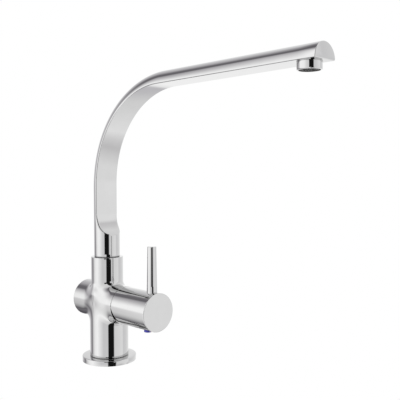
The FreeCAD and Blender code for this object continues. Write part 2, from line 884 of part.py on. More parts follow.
def spigot_o_rings():
    # Each ring fills its groove, with its round section slightly squeezed.
    inner = spigot_radius - 2 * o_ring_half
    rings = []
    for height in o_ring_heights():
        low = height - o_ring_half
        high = height + o_ring_half
        rings.append(turned_upright([
            (inner + o_ring_corner, low),
            (spigot_radius - o_ring_corner, low),
            (spigot_radius, low + o_ring_corner),
            (spigot_radius, high - o_ring_corner),
            (spigot_radius - o_ring_corner, high),
            (inner + o_ring_corner, high),
            (inner, high - o_ring_corner),
            (inner, low + o_ring_corner),
        ], neck_set_back))
    return Part.makeCompound(rings)


def bearing_ring():
    inner = spout_radius - spout_wall + running_gap
    outer = spout_radius - bearing_inset
    return turned_upright([
        (inner, neck_top),
        (outer, neck_top),
        (outer, spout_foot),
        (inner, spout_foot),
    ], neck_set_back)


def retaining_screw():
    screw_start = V(0, neck_set_back + socket_radius + tip_gap, retaining_height)
    screw_end = screw_start + BACK * retaining_screw_length
    tip_start = V(0, neck_set_back + spigot_groove_radius + loose_gap, retaining_height)
    tip_length = (screw_end - tip_start).Length - retaining_key_depth
    screw = rod(retaining_screw_radius, retaining_screw_length, screw_start, BACK)
    tip = rod(retaining_tip_radius, tip_length, tip_start, BACK)
    hollow = hex_prism(retaining_key, retaining_key_depth, screw_end, FRONT)
    return screw.fuse(tip).cut(hollow)


def aerator_housing():
    shell = aerator_rod(aerator_radius, aerator_seal_thickness, aerator_drop)
    lower_rim = aerator_point(aerator_drop)
    rim = edges_where(shell, lambda point: abs((point - lower_rim).dot(arm_down)) < 0.01)
    shell = shell.makeChamfer(aerator_edge, rim)
    thread = aerator_rod(aerator_thread_radius - thread_gap, aerator_top, aerator_seal_thickness)
    bore = aerator_rod(aerator_thread_radius - aerator_wall, aerator_top, aerator_drop)
    return shell.fuse(thread).cut(bore)


def aerator_seal():
    ring = aerator_rod(aerator_radius - aerator_seal_inset, 0.0, aerator_seal_thickness)
    return ring.cut(aerator_rod(aerator_thread_radius, 0.0, aerator_seal_thickness))


def aerator_insert():
    top = aerator_top + loose_gap
    body = aerator_rod(insert_radius, top, insert_bottom)
    hollow = aerator_rod(insert_radius - insert_wall, top + insert_roof, insert_bottom)
    holes = []
    for step in range(insert_hole_count):
        angle = 2 * math.pi * step / insert_hole_count
        outward = V(math.cos(angle), 0, 0) + arm_axis * math.sin(angle)
        start = aerator_point(top) + outward * (insert_radius - insert_wall - insert_hole_land)
        holes.append(rod(insert_hole_radius, insert_roof, start, arm_down))
    return body.cut([hollow] + holes)


def aerator_grid():
    disc = aerator_rod(insert_radius, insert_bottom, insert_bottom + grid_thickness)
    pitch = grid_hole_flats + grid_bar
    row_pitch = pitch * math.sin(math.radians(60.0))
    rows = int(insert_radius / row_pitch)
    holes = []
    for row in range(-rows, rows + 1):
        for column in range(-rows, rows + 1):
            across = (column + 0.5 * (row % 2)) * pitch
            along = row * row_pitch
            if math.hypot(across, along) < insert_radius - 0.5 * grid_hole_flats - grid_bar:
                start = aerator_point(insert_bottom) + V(across, 0, 0) + arm_axis * along
                holes.append(hex_prism(grid_hole_flats, grid_thickness, start, arm_down))
    return disc.cut(holes)


sub_parts = [
    ("body_casting", body_casting),
    ("base_flange", base_flange),
    ("flange_seal", flange_seal),
    ("mounting_stud", mounting_stud),
    ("clamp_rubber", clamp_rubber),
    ("clamp_plate", clamp_plate),
    ("stud_nut", stud_nut),
    ("cartridge_base", cartridge_base),
    ("base_seals", base_seals),
    ("fixed_disc", fixed_disc),
    ("moving_disc", moving_disc),
    ("disc_carrier", disc_carrier),
    ("stem_carrier", stem_carrier),
    ("stem_pin", stem_pin),
    ("cartridge_housing", cartridge_housing),
    ("cartridge_nut", cartridge_nut),
    ("cover_ring", cover_ring),
    ("stem", stem),
    ("stem_adapter", stem_adapter),
    ("adapter_screw", adapter_screw),
    ("handle_cap", handle_cap),
    ("lever_pin", lever_pin),
    ("grub_screw", grub_screw),
    ("index_plug", index_plug),
    ("spout_tube", spout_tube),
    ("spout_spigot", spout_spigot),
    ("spigot_o_rings", spigot_o_rings),
    ("bearing_ring", bearing_ring),
    ("retaining_screw", retaining_screw),
    ("aerator_housing", aerator_housing),
    ("aerator_seal", aerator_seal),
    ("aerator_insert", aerator_insert),
    ("aerator_grid", aerator_grid),
]

for name, make in sub_parts:
    make().exportStep("parts/" + name + ".step")
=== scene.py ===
import logging
import math
from dataclasses import dataclass
from enum import Enum
from typing import Callable, ClassVar, Optional, Sequence, Union

import bmesh
import bpy
import numpy as np
from mathutils import Matrix, Vector


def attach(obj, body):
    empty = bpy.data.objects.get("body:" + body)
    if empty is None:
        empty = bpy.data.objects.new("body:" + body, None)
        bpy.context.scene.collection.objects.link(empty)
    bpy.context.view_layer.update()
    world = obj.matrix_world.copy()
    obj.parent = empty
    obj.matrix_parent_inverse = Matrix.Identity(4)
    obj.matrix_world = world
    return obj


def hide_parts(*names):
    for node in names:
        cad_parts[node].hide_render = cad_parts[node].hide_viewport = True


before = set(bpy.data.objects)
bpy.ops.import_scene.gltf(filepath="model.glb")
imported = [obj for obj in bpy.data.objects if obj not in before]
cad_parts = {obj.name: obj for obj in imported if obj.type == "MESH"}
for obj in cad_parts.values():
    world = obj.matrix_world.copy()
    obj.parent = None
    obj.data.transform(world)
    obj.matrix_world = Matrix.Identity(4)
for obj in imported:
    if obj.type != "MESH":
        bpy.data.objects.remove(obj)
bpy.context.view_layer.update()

# The looks of a tall swivel tap. Sizes are in millimetres and angles in degrees, in
# the frame's own axes: the deck is z = 0, the column stands on the z axis, and the
# spout and the lever cap point to the front, which is -y.

MM = 0.001
UP = Vector((0.0, 0.0, 1.0))
FRONT = Vector((0.0, -1.0, 0.0))
SIDE = Vector((1.0, 0.0, 0.0))
LOG = logging.getLogger("tap")

Piece = bpy.types.Object
Tree = bpy.types.NodeTree
Node = bpy.types.Node
Socket = bpy.types.NodeSocket
Shell = bmesh.types.BMesh
Light = tuple[float, float, float, float]
Span = tuple[float, float]
Hues = tuple[str, str]
Grain = tuple[float, float]
Corner = tuple[float, float, float]
Ring = list[Vector]
Walls = Sequence[tuple[float, int]]
Value = Union[float, int, str, bool, tuple, Vector]


class Body(Enum):
    """The rigid bodies of the frame that pieces ride on."""

    BODY = "body"
    SPOUT = "spout"
    HANDLE = "handle"


class Slot(Enum):
    """The record's material slots, named by the finishes of new pieces; no piece is given one here."""

    CHROME = "chrome_plate"
    STEEL = "steel"
    INDEX = "index_plastic"


# Node tools


def linear(colour: str) -> Light:
    """Turn an sRGB hex colour into linear light.

    Args:
        colour: Six hex digits after a hash.

    Returns:
        Red, green, blue and a full alpha.
    """
    parts = [int(colour[place:place + 2], 16) / 255.0 for place in (1, 3, 5)]
    red, green, blue = (p / 12.92 if p <= 0.04045 else ((p + 0.055) / 1.055) ** 2.4 for p in parts)
    return red, green, blue, 1.0


def add_node(
    tree: Tree, kind: str, settings: Optional[dict[Union[str, int], Value]] = None,
    links: Optional[dict[Union[str, int], Socket]] = None,
) -> Node:
    """Add one node with its settings and its incoming links.

    Args:
        tree: The node tree that gets the node.
        kind: Blender's type name of the node.
        settings: Values by the node's own attribute or by socket.
        links: Output sockets by the input that each one feeds.

    Returns:
        The new node.
    """
    node = tree.nodes.new(kind)
    for name, value in (settings or {}).items():
        if isinstance(name, str) and hasattr(node, name):
            setattr(node, name, value)
        else:
            node.inputs[name].default_value = value
    for name, socket in (links or {}).items():
        tree.links.new(socket, node.inputs[name])
    return node


def set_stops(ramp: Node, stops: Sequence[tuple[float, Light]]) -> Socket:
    """Give a colour ramp its stops.

    Args:
        ramp: The colour ramp node.
        stops: Place from 0 to 1 and linear colour of each stop.

    Returns:
        The ramp's colour.
    """
    elements = ramp.color_ramp.elements
    while len(elements) < len(stops):
        elements.new(0.5)
    for element, (place, colour) in zip(elements, stops):
        element.position = place
        element.color = colour
    return ramp.outputs["Color"]


# Finishes


@dataclass(frozen=True)
class Finish:
    """A real surface, whose material is made once and shared by the pieces that have it.

    Shade, wear and relief are patterns that run from 0 to 1 over the surface, each given as the
    real size of its patches in millimetres and how much finer detail they have. The colour runs
    between the two hues along the shade. The roughness runs between its two values along the wear,
    or along the shade where there is no wear. The relief has a real depth in millimetres.
    """

    title: ClassVar[str]
    slot: ClassVar[Slot]  # only the finishes of new pieces name one
    sockets: ClassVar[dict[str, float]] = {"Metallic": 1.0}
    hue_places: ClassVar[Span] = (0.25, 0.75)
    hues: Hues
    rough: Span
    shade: Optional[Grain] = None
    wear: Optional[Grain] = None
    relief: Optional[Grain] = None
    depth: float = 0.01

    def patterns(self, tree: Tree, place: Socket) -> dict[str, Socket]:
        """Draw the soft patches; a finish with other patterns adds them to these.

        Args:
            tree: The material's node tree.
            place: Place on the surface.

        Returns:
            The patterns by the name of what they are for.
        """
        wanted = {"shade": self.shade, "wear": self.wear, "relief": self.relief}
        drawn: dict[Grain, Socket] = {}
        for grain in dict.fromkeys(filter(None, wanted.values())):
            settings = {"Scale": 1.0 / (grain[0] * MM), "Detail": grain[1]}
            drawn[grain] = add_node(tree, "ShaderNodeTexNoise", settings, {"Vector": place}).outputs["Fac"]
        return {name: drawn[grain] for name, grain in wanted.items() if grain}

    def material(self) -> bpy.types.Material:
        """Return the finish's material, which is made on the first call.

        Returns:
            The material that all pieces with this finish share.
        """
        made = bpy.data.materials.get(self.title)
        if made is not None:
            return made
        made = bpy.data.materials.new(self.title)
        made.use_nodes = True
        tree = made.node_tree
        shader = tree.nodes["Principled BSDF"]
        for name, value in self.sockets.items():
            shader.inputs[name].default_value = value
        drawn = self.patterns(tree, add_node(tree, "ShaderNodeTexCoord").outputs["Object"])
        ramp = add_node(tree, "ShaderNodeValToRGB", None, {"Fac": drawn["shade"]})
        colour = set_stops(ramp, list(zip(self.hue_places, map(linear, self.hues))))
        tree.links.new(colour, shader.inputs["Base Color"])
        span = {"To Min": self.rough[0], "To Max": self.rough[1]}
        rough = add_node(tree, "ShaderNodeMapRange", span, {"Value": drawn.get("wear", drawn["shade"])})
        tree.links.new(rough.outputs["Result"], shader.inputs["Roughness"])
        if "relief" in drawn:
            depth = {"Distance": self.depth * MM, "Strength": 1.0}
            bump = add_node(tree, "ShaderNodeBump", depth, {"Height": drawn["relief"]})
            tree.links.new(bump.outputs["Normal"], shader.inputs["Normal"])
        return made


@dataclass(frozen=True)
class PolishedChromePlate(Finish):
    """Bright chrome, electroplated over polished brass.

    A mirror with a faint wiped haze and the slow ripple that hand polishing leaves.
    """

    title: ClassVar[str] = "polished_chrome_plate"
    slot: ClassVar[Slot] = Slot.CHROME
    hues: Hues = ("#BDBDBD", "#C0C0C0")
    shade: Grain = (9.0, 3.0)
    rough: Span = (0.015, 0.03)
    relief: Grain = (14.0, 0.0)
    depth: float = 0.00012


@dataclass(frozen=True)
class TurnedBrass(Finish):
    """Free-cutting brass, turned on a lathe: yellow metal with fine tool lines.

    The lines are drawn coarser than the real 0.1 mm feed so that they show.
    """

    title: ClassVar[str] = "turned_brass"
    hues: Hues = ("#B98F45", "#D9B36A")
    shade: Grain = (5.0, 4.0)
    rough: Span = (0.22, 0.36)
    tool_pitch: float = 0.5
    ring_unit: ClassVar[float] = 0.314  # spacing of the rings in metres at a scale of 1

    def patterns(self, tree: Tree, place: Socket) -> dict[str, Socket]:
        """Add the tool lines as the relief.

        Args:
            tree: The material's node tree.
            place: Place on the surface.

        Returns:
            The patterns by the name of what they are for.
        """
        scale = self.ring_unit / (self.tool_pitch * MM)
        settings = {"wave_type": "RINGS", "rings_direction": "SPHERICAL", "Scale": scale}
        lines = add_node(tree, "ShaderNodeTexWave", settings, {"Vector": place})
        return {**super().patterns(tree, place), "relief": lines.outputs["Fac"]}


@dataclass(frozen=True)
class CastBrass(Finish):
    """The unplated inside of the brass body, cast and bored: dull yellow with the mould's sand grain."""

    title: ClassVar[str] = "cast_brass"
    hues: Hues = ("#9C773C", "#C9A35E")
    shade: Grain = (0.5, 3.0)
    rough: Span = (0.38, 0.6)
    relief: Grain = (0.5, 3.0)
    depth: float = 0.06


@dataclass(frozen=True)
class DullBrassPaintedShade(Finish):
    """Bores that the plating hardly reached, and the nut in the barrel's gap: painted shade, nearly black
    brown with soft stains.
    """

    title: ClassVar[str] = "dull_brass_painted_shade"
    sockets: ClassVar[dict[str, float]] = {"Metallic": 0.6}
    # the near-black hues are painted shade of deep bores and gaps, not the brass's own colour
    hues: Hues = ("#241E1A", "#3A3128")
    shade: Grain = (3.0, 3.0)
    rough: Span = (0.45, 0.65)
    relief: Grain = (3.0, 3.0)
    depth: float = 0.02


@dataclass(frozen=True)
class ZincPlatedSteel(Finish):
    """Pressed or rolled steel, zinc plated: bluish grey with the soft patches of zinc crystals."""

    title: ClassVar[str] = "zinc_plated_steel"
    slot: ClassVar[Slot] = Slot.STEEL
    hues: Hues = ("#9FA3A6", "#C6CBD1")
    rough: Span = (0.26, 0.42)
    relief: Grain = (0.6, 2.0)
    crystal: float = 2.2

    def patterns(self, tree: Tree, place: Socket) -> dict[str, Socket]:
        """Add the crystals, whose cells have one tone for the shade and another for the wear.

        Args:
            tree: The material's node tree.
            place: Place on the surface.

        Returns:
            The patterns by the name of what they are for.
        """
        scale = 1.0 / (self.crystal * MM)
        cells = add_node(tree, "ShaderNodeTexVoronoi", {"Scale": scale}, {"Vector": place})
        tones = add_node(tree, "ShaderNodeSeparateColor", None, {"Color": cells.outputs["Color"]}).outputs
        return {**super().patterns(tree, place), "shade": tones["Red"], "wear": tones["Green"]}


@dataclass(frozen=True)
class StainlessSteel(Finish):
    """Stainless bar, ground and lightly blasted: warm grey with a fine ground grain."""

    title: ClassVar[str] = "ground_stainless_steel"
    hues: Hues = ("#A19F9B", "#BDBBB6")
    shade: Grain = (0.35, 3.0)
    rough: Span = (0.2, 0.34)
    relief: Grain = (0.35, 3.0)
    depth: float = 0.005


@dataclass(frozen=True)
class MouldedRubber(Finish):
    """EPDM rubber from a spark-eroded mould: matt black with a pebbled skin and paler patches of bloom."""

    title: ClassVar[str] = "moulded_epdm_rubber"
    sockets: ClassVar[dict[str, float]] = {}
    hues: Hues = ("#161617", "#2A2A2B")
    shade: Grain = (6.0, 2.0)
    rough: Span = (0.55, 0.8)
    wear: Grain = (0.4, 2.0)
    relief: Grain = (0.4, 2.0)
    depth: float = 0.03


@dataclass(frozen=True)
class MouldedAcetal(Finish):
    """Natural acetal, injection moulded: milky off-white with faint flow clouds and a satin skin."""

    title: ClassVar[str] = "moulded_acetal"
    sockets: ClassVar[dict[str, float]] = {
        "IOR": 1.48, "Subsurface Weight": 0.08, "Subsurface Scale": 1.0 * MM,
    }
    hues: Hues = ("#D4D1C7", "#E7E5DE")
    shade: Grain = (8.0, 3.0)
    rough: Span = (0.34, 0.48)
    wear: Grain = (0.5, 2.0)
    relief: Grain = (0.5, 2.0)
    depth: float = 0.008


@dataclass(frozen=True)
class DarkAcetal(Finish):
    """Charcoal acetal of the flow straightener, injection moulded: nearly black with a satin skin."""

    title: ClassVar[str] = "moulded_dark_acetal"
    sockets: ClassVar[dict[str, float]] = {"IOR": 1.48, "Specular IOR Level": 0.2}
    hues: Hues = ("#0E0E10", "#19191B")
    shade: Grain = (0.5, 2.0)
    rough: Span = (0.3, 0.45)
    relief: Grain = (0.5, 2.0)
    depth: float = 0.008


@dataclass(frozen=True)
class GreyAcetal(DarkAcetal):
    """Grey acetal of the spout's bearing ring, injection moulded: mid grey with a satin skin."""

    title: ClassVar[str] = "moulded_grey_acetal"
    hues: Hues = ("#727274", "#8A8A8C")


@dataclass(frozen=True)
class LappedAlumina(Finish):
    """Sintered alumina with lapped faces: smooth, faintly glossy ivory with a fine speckle."""

    title: ClassVar[str] = "lapped_alumina"
    sockets: ClassVar[dict[str, float]] = {"IOR": 1.77}
    hues: Hues = ("#E3DDD0", "#F1EEE6")
    shade: Grain = (0.8, 4.0)
    rough: Span = (0.12, 0.24)


@dataclass(frozen=True)
class IndexPlastic(Finish):
    """ABS, moulded half blue for cold and half red for hot: deep colours under a clear gloss."""

    title: ClassVar[str] = "glossy_index_abs"
    slot: ClassVar[Slot] = Slot.INDEX
    sockets: ClassVar[dict[str, float]] = {"IOR": 1.54, "Coat Weight": 0.15, "Coat Roughness": 0.04}
    hues: Hues = ("#17129A", "#9E1B22")
    rough: Span = (0.28, 0.38)
    wear: Grain = (0.7, 1.0)
    seam: float = 0.15

    def patterns(self, tree: Tree, place: Socket) -> dict[str, Socket]:
        """Add the two halves, which meet in a narrow seam.

        Args:
            tree: The material's node tree.
            place: Place on the surface.

        Returns:
            The patterns by the name of what they are for.
        """
        across = add_node(tree, "ShaderNodeSeparateXYZ", None, {"Vector": place})
        settings = {"From Min": -self.seam * MM, "From Max": self.seam * MM}
        side = add_node(tree, "ShaderNodeMapRange", settings, {"Value": across.outputs["X"]})
        return {**super().patterns(tree, place), "shade": side.outputs["Result"]}


CHROME = PolishedChromePlate()
BRASS = TurnedBrass()
CASTING = CastBrass()
BRASS_PAINTED_SHADE = DullBrassPaintedShade()
ZINC = ZincPlatedSteel()
STAINLESS = StainlessSteel()
RUBBER = MouldedRubber()
ACETAL = MouldedAcetal()
DARK_ACETAL = DarkAcetal()
GREY_ACETAL = GreyAcetal()
ALUMINA = LappedAlumina()
INDEX = IndexPlastic()


# Mesh tools


def rounded(corners: Sequence[Corner], closed: bool, steps: int = 4) -> list[Span]:
    """Draw a flat outline with rounded corners.

    Args:
        corners: First place, second place and corner radius of each corner.
        closed: Whether the last corner joins the first.
        steps: Number of chords in each rounded corner.

    Returns:
        The outline's points.
    """
    points: list[Span] = []
    count = len(corners)
    for index, (first, second, radius) in enumerate(corners):
        here = Vector((first, second))
        if radius <= 0.0 or (not closed and index in (0, count - 1)):
            points.append((first, second))
            continue
        before = Vector(corners[index - 1][:2]) - here
        after = Vector(corners[(index + 1) % count][:2]) - here
        half = 0.5 * before.angle(after)
        reach = min(radius / math.tan(half), 0.49 * before.length, 0.49 * after.length)
        start, end = here + before.normalized() * reach, here + after.normalized() * reach
        centre = here + (before.normalized() + after.normalized()).normalized() * (reach / math.cos(half))
        size = reach * math.tan(half)
        for step in range(steps + 1):
            arm = (start - centre).normalized().slerp((end - centre).normalized(), step / steps)
            points.append((centre.x + arm.x * size, centre.y + arm.y * size))
    return points


def arc(centre: Span, radius: float, start: float, end: float, steps: int) -> list[Span]:
    """Draw a circular arc.

    Args:
        centre: Its centre.
        radius: Its radius.
        start: Angle of its first point in radians.
        end: Angle of its last point.
        steps: Number of chords.

    Returns:
        The arc's points with both ends.
    """
    angles = [start + (end - start) * step / steps for step in range(steps + 1)]
    return [(centre[0] + radius * math.cos(angle), centre[1] + radius * math.sin(angle)) for angle in angles]


def smooth(mesh: bpy.types.Mesh, crease: float = 30.0) -> None:
    """Shade a mesh smooth and keep the edges above an angle sharp."""
    mesh.polygons.foreach_set("use_smooth", [True] * len(mesh.polygons))
    mesh.set_sharp_from_angle(angle=math.radians(crease))


def linked(name: str, mesh: bpy.types.Mesh) -> Piece:
    """Put a mesh into the scene.

    Args:
        name: Name of the piece.
        mesh: Its mesh.

    Returns:
        The piece.
    """
    piece = bpy.data.objects.new(name, mesh)
    bpy.context.scene.collection.objects.link(piece)
    return piece


def mesh_from(build: Shell, name: str) -> bpy.types.Mesh:
    """Turn a mesh under construction into a mesh and free it.

    Args:
        build: The mesh under construction.
        name: Name of the mesh.

    Returns:
        The mesh.
    """
    mesh = bpy.data.meshes.new(name)
    build.to_mesh(mesh)
    build.free()
    return mesh


def finish_mesh(build: Shell, name: str, crease: float = 30.0) -> Piece:
    """Turn a mesh under construction in millimetres into a smooth shaded object in metres.

    Args:
        build: The mesh under construction.
        name: Name of the piece.
        crease: Angle above which an edge stays sharp.

    Returns:
        The linked object.
    """
    bmesh.ops.recalc_face_normals(build, faces=build.faces)
    mesh = mesh_from(build, name)
    mesh.transform(Matrix.Scale(MM, 4))
    mesh.validate()
    smooth(mesh, crease)
    mesh.update()
    return linked(name, mesh)


def skinned(name: str, rings: Sequence[Ring], loop: bool = False, crease: float = 30.0) -> Piece:
    """Join rings of points into one closed skin.

    Args:
        name: Name of the piece.
        rings: Rings with equally many points; a ring of one point closes an end.
        loop: Whether the last ring joins the first.
        crease: Angle above which an edge stays sharp.

    Returns:
        The piece.
    """
    build = bmesh.new()
    rows = [[build.verts.new(point) for point in ring] for ring in rings]
    pairs = list(zip(rows, rows[1:] + rows[:1])) if loop else list(zip(rows, rows[1:]))
    for low, high in pairs:
        count = max(len(low), len(high))
        for place in range(count):
            corners = [
                low[place % len(low)], low[(place + 1) % len(low)],
                high[(place + 1) % len(high)], high[place % len(high)],
            ]
            face = list(dict.fromkeys(corners))
            if len(face) > 2:
                build.faces.new(face)
    if not loop:
        for row in (rows[0], rows[-1]):
            if len(row) > 2:
                build.faces.new(row)
    return finish_mesh(build, name, crease)


@dataclass(frozen=True)
class Axis:
    """A turning axis: its start, its direction and the direction that angles count from."""

    start: Vector
    along: Vector
    out: Vector = SIDE

    def point(self, radius: float, place: float, angle: float) -> Vector:
        """Return the point at a radius, a place along the axis and an angle in radians."""
        arm = self.out * math.cos(angle) + self.along.cross(self.out) * math.sin(angle)
        return self.start + self.along * place + arm * radius

    def ring(self, radius: float, place: float, count: int) -> Ring:
        """Return a ring of points, or one point where the radius is zero."""
        angles = [math.tau * step / count for step in range(count)] if radius > 1e-6 else [0.0]
        return [self.point(radius, place, angle) for angle in angles]


def turned(name: str, axis: Axis, profile: Sequence[Span], count: int = 96, loop: bool = True) -> Piece:
    """Turn a profile about an axis.

    Args:
        name: Name of the piece.
        axis: The turning axis.
        profile: Radius and place along the axis of each point.
        count: Number of points round the axis.
        loop: Whether the profile closes on itself away from the axis.

    Returns:
        The piece.
    """
    return skinned(name, [axis.ring(radius, place, count) for radius, place in profile], loop)


def cut(piece: Piece, tools: Sequence[Piece]) -> Piece:
    """Cut tools out of a piece and delete them.

    Args:
        piece: The piece that is cut.
        tools: The objects whose volume is taken away.

    Returns:
        The same piece with its new mesh.
    """
    for tool in tools:
        change = piece.modifiers.new("cut", "BOOLEAN")
        change.operation = "DIFFERENCE"
        change.solver = "EXACT"
        change.object = tool
    mesh = solved(piece)
    piece.modifiers.clear()
    old, piece.data = piece.data, mesh
    bpy.data.meshes.remove(old)
    for tool in tools:
        bpy.data.objects.remove(tool)
    smooth(mesh)
    return piece


def solved(piece: Piece) -> bpy.types.Mesh:
    """Return a piece's mesh with its modifiers applied."""
    bpy.context.view_layer.update()
    return bpy.data.meshes.new_from_object(piece.evaluated_get(bpy.context.evaluated_depsgraph_get()))


def dress(piece: Piece, body: Body, finish: Finish, node: str) -> Piece:
    """Give a piece its finish and the body that it rides on, and hide the frame node it stands for.

    Args:
        piece: The piece.
        body: The body that carries it.
        finish: Its finish.
        node: Frame node that it replaces.

    Returns:
        The same piece.
    """
    piece.data.materials.clear()
    piece.data.materials.append(finish.material())
    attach(piece, body.value)
    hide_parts(node)
    LOG.info("%s: %d faces, rides on %s, %s", piece.name, len(piece.data.polygons), body.value, finish.title)
    return piece


def line_inside(piece: Piece, finish: Finish, inside: Callable[[Vector], bool]) -> None:
    """Give the unplated inside of a piece a second finish.

    Args:
        piece: The piece, already dressed.
        finish: The finish of its inside.
        inside: Tells from a face's centre, in millimetres, whether the face lies inside.
    """
    piece.data.materials.append(finish.material())
    for face in piece.data.polygons:
        if inside(face.center / MM):
            face.material_index = 1


def dress_nodes(finishes: dict[str, Finish]) -> None:
    """Give carried-over frame nodes their finishes.

    Args:
        finishes: The finish of each node by the node's name.
    """
    for node, finish in finishes.items():
        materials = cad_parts[node].data.materials
        materials.clear()
        materials.append(finish.material())
        LOG.info("%s: frame node, %s", node, finish.title)


# The tap


@dataclass
class ValveBody:
    """The brass casting: a column, a crossing barrel and a set-back neck, blended into each other."""

    column_radius: float = 20.75
    neck_radius: float = 17.3
    neck_set_back: float = 3.0
    neck_top: float = 112.3
    shoulder_foot: float = 70.4
    shoulder_top: float = 86.4
    barrel_radius: float = 19.75
    barrel_height: float = 63.4
    barrel_back: float = 38.6
    barrel_front: float = 28.4
    blend_front_top: float = 4.5
    blend_front_foot: float = 3.5
    blend_front_flank: float = 12.0
    blend_rear_top: float = 3.0
    blend_rear_foot: float = 11.0
    blend_rear_flank: float = 10.0
    rim: float = 0.7
    edge: float = 0.15
    column_foot: float = 5.5
    foot_chamfer: float = 0.7
    register_radius: float = 18.0
    register_foot: float = 1.6
    cavity_radius: float = 15.5
    cavity_roof: float = 22.0
    socket_radius: float = 12.5
    socket_floor: float = 87.0
    nut_bore: float = 18.5
    nut_shelf: float = 21.5
    cartridge_bore: float = 17.6
    seat_behind: float = 6.0
    stud_hole: float = 4.05
    stud_hole_depth: float = 9.0
    stud_from_axis: float = 11.0
    inlet_radius: float = 5.0
    inlet_depth: float = 10.0
    inlet_side: float = 8.5
    inlet_back: float = 3.0
    screw_hole: float = 2.05
    screw_height: float = 104.5
    skin: float = 1.2
    overlap: float = 0.5
    voxel: float = 0.9
    spare: float = 4.0
    end_voxels: float = 1.6
    snap_voxels: float = 0.33
    rough_rows: int = 60
    rough_count: int = 96
    hole_count: int = 48
    settle_reach: float = 0.02
    smooth_rounds: int = 14
    smooth_share: float = 0.65

    def upright(self, height: np.ndarray) -> tuple[np.ndarray, np.ndarray]:
        """Measure the column, the shoulder and the neck.

        Args:
            height: Heights over the deck.

        Returns:
            The radius and the set-back at each height.
        """
        part = np.clip((height - self.shoulder_foot) / (self.shoulder_top - self.shoulder_foot), 0.0, 1.0)
        ease = part ** 3 * (10.0 - 15.0 * part + 6.0 * part ** 2)
        return self.column_radius + (self.neck_radius - self.column_radius) * ease, self.neck_set_back * ease

    def blend_width(self, points: np.ndarray, level: np.ndarray) -> np.ndarray:
        """Measure how far the polished blend reaches from the crease.

        Args:
            points: Rows of x, y and z.
            level: Distance of each point from the barrel's axis.

        Returns:
            The reach at each point: wide at the flanks, tight in the upper corners.
        """
        lift = (points[:, 2] - self.barrel_height) / np.maximum(level, 1e-6)
        ahead = points[:, 1] < 0.0
        above = np.where(ahead, self.blend_front_top, self.blend_rear_top)
        below = np.where(ahead, self.blend_front_foot, self.blend_rear_foot)
        flank = np.where(ahead, self.blend_front_flank, self.blend_rear_flank)
        return flank + (np.where(lift > 0.0, above, below) - flank) * lift ** 2

    def form(self, points: np.ndarray) -> np.ndarray:
        """Measure how far points stand outside the upright form and the barrel, melted together.

        Args:
            points: Rows of x, y and z.

        Returns:
            The signed distances, where the crease is filled by a smooth minimum.
        """
        radius, back = self.upright(points[:, 2])
        out = np.hypot(points[:, 0], points[:, 1] - back)
        level = np.hypot(points[:, 0], points[:, 2] - self.barrel_height)
        first, second = out - radius, level - self.barrel_radius
        cosine = points[:, 0] ** 2 / np.maximum(out * level, 1e-6)
        turn = np.sqrt(np.maximum(1.0 - cosine ** 2, 1e-4))
        width = self.blend_width(points, level) * turn
        fill = np.maximum(width - np.abs(first - second), 0.0) ** 2 / (4.0 * width)
        return np.minimum(first, second) - fill

    def settle(self, points: np.ndarray, rounds: int = 2) -> np.ndarray:
        """Move points onto the melted form along its gradient.

        Args:
            points: Rows of x, y and z.
            rounds: Number of steps.

        Returns:
            The moved points.
        """
        reach = self.settle_reach
        for _ in range(rounds):
            slope = np.stack([
                (self.form(points + reach * way) - self.form(points - reach * way)) / (2.0 * reach)
                for way in np.eye(3)
            ], axis=1)
            steep = np.maximum(np.sum(slope ** 2, axis=1), 0.2)
            points = points - slope * (self.form(points) / steep)[:, None]
        return points

    def rough_form(self) -> bpy.types.Mesh:
        """Join the upright form and the barrel into one evenly meshed shell.

        Returns:
            The mesh, with spare length at each end.
        """
        count = self.rough_count
        heights = np.linspace(self.column_foot - self.spare, self.neck_top + self.spare, self.rough_rows)
        rings = [
            Axis(Vector((0.0, shift, height)), UP).ring(size, 0.0, count)
            for height, size, shift in zip(heights, *self.upright(heights))
        ]
        level = Axis(Vector((0.0, 0.0, self.barrel_height)), FRONT)
        ends = (-self.barrel_back - self.spare, self.barrel_front + self.spare)
        barrel = [level.ring(self.barrel_radius, place, count) for place in ends]
        build = bmesh.new()
        for part in (skinned("upright", rings), skinned("barrel", barrel)):
            build.from_mesh(part.data)
            bpy.data.objects.remove(part)
        rough = linked("rough", mesh_from(build, "rough"))
        change = rough.modifiers.new("remesh", "REMESH")
        change.mode = "VOXEL"
        change.voxel_size = self.voxel * MM
        even = solved(rough)
        bpy.data.objects.remove(rough)
        even.transform(Matrix.Scale(1.0 / MM, 4))
        return even

    def even_out(self, build: Shell) -> None:
        """Settle the shell's points on the blended surface and even out their spacing.

        Args:
            build: The shell.
        """
        ends = self.spare - self.end_voxels * self.voxel
        far = [
            vert for vert in build.verts
            if vert.co.z > self.neck_top + ends or vert.co.z < self.column_foot - ends
            or vert.co.y > self.barrel_back + ends or vert.co.y < -self.barrel_front - ends
        ]
        bmesh.ops.delete(build, geom=far, context="VERTS")
        build.verts.index_update()
        first, second = (np.array([edge.verts[end].index for edge in build.edges]) for end in (0, 1))
        free = np.array([not vert.is_boundary for vert in build.verts])
        points = self.settle(np.array([vert.co for vert in build.verts]), 4)
        degree = np.bincount(np.concatenate([first, second]), minlength=len(points))[:, None]
        for _ in range(self.smooth_rounds):
            total = np.zeros_like(points)
            np.add.at(total, first, points[second])
            np.add.at(total, second, points[first])
            moved = (1.0 - self.smooth_share) * points + self.smooth_share * total / degree
            points = self.settle(np.where(free[:, None], moved, points))
        for vert, point in zip(build.verts, points):
            vert.co = point

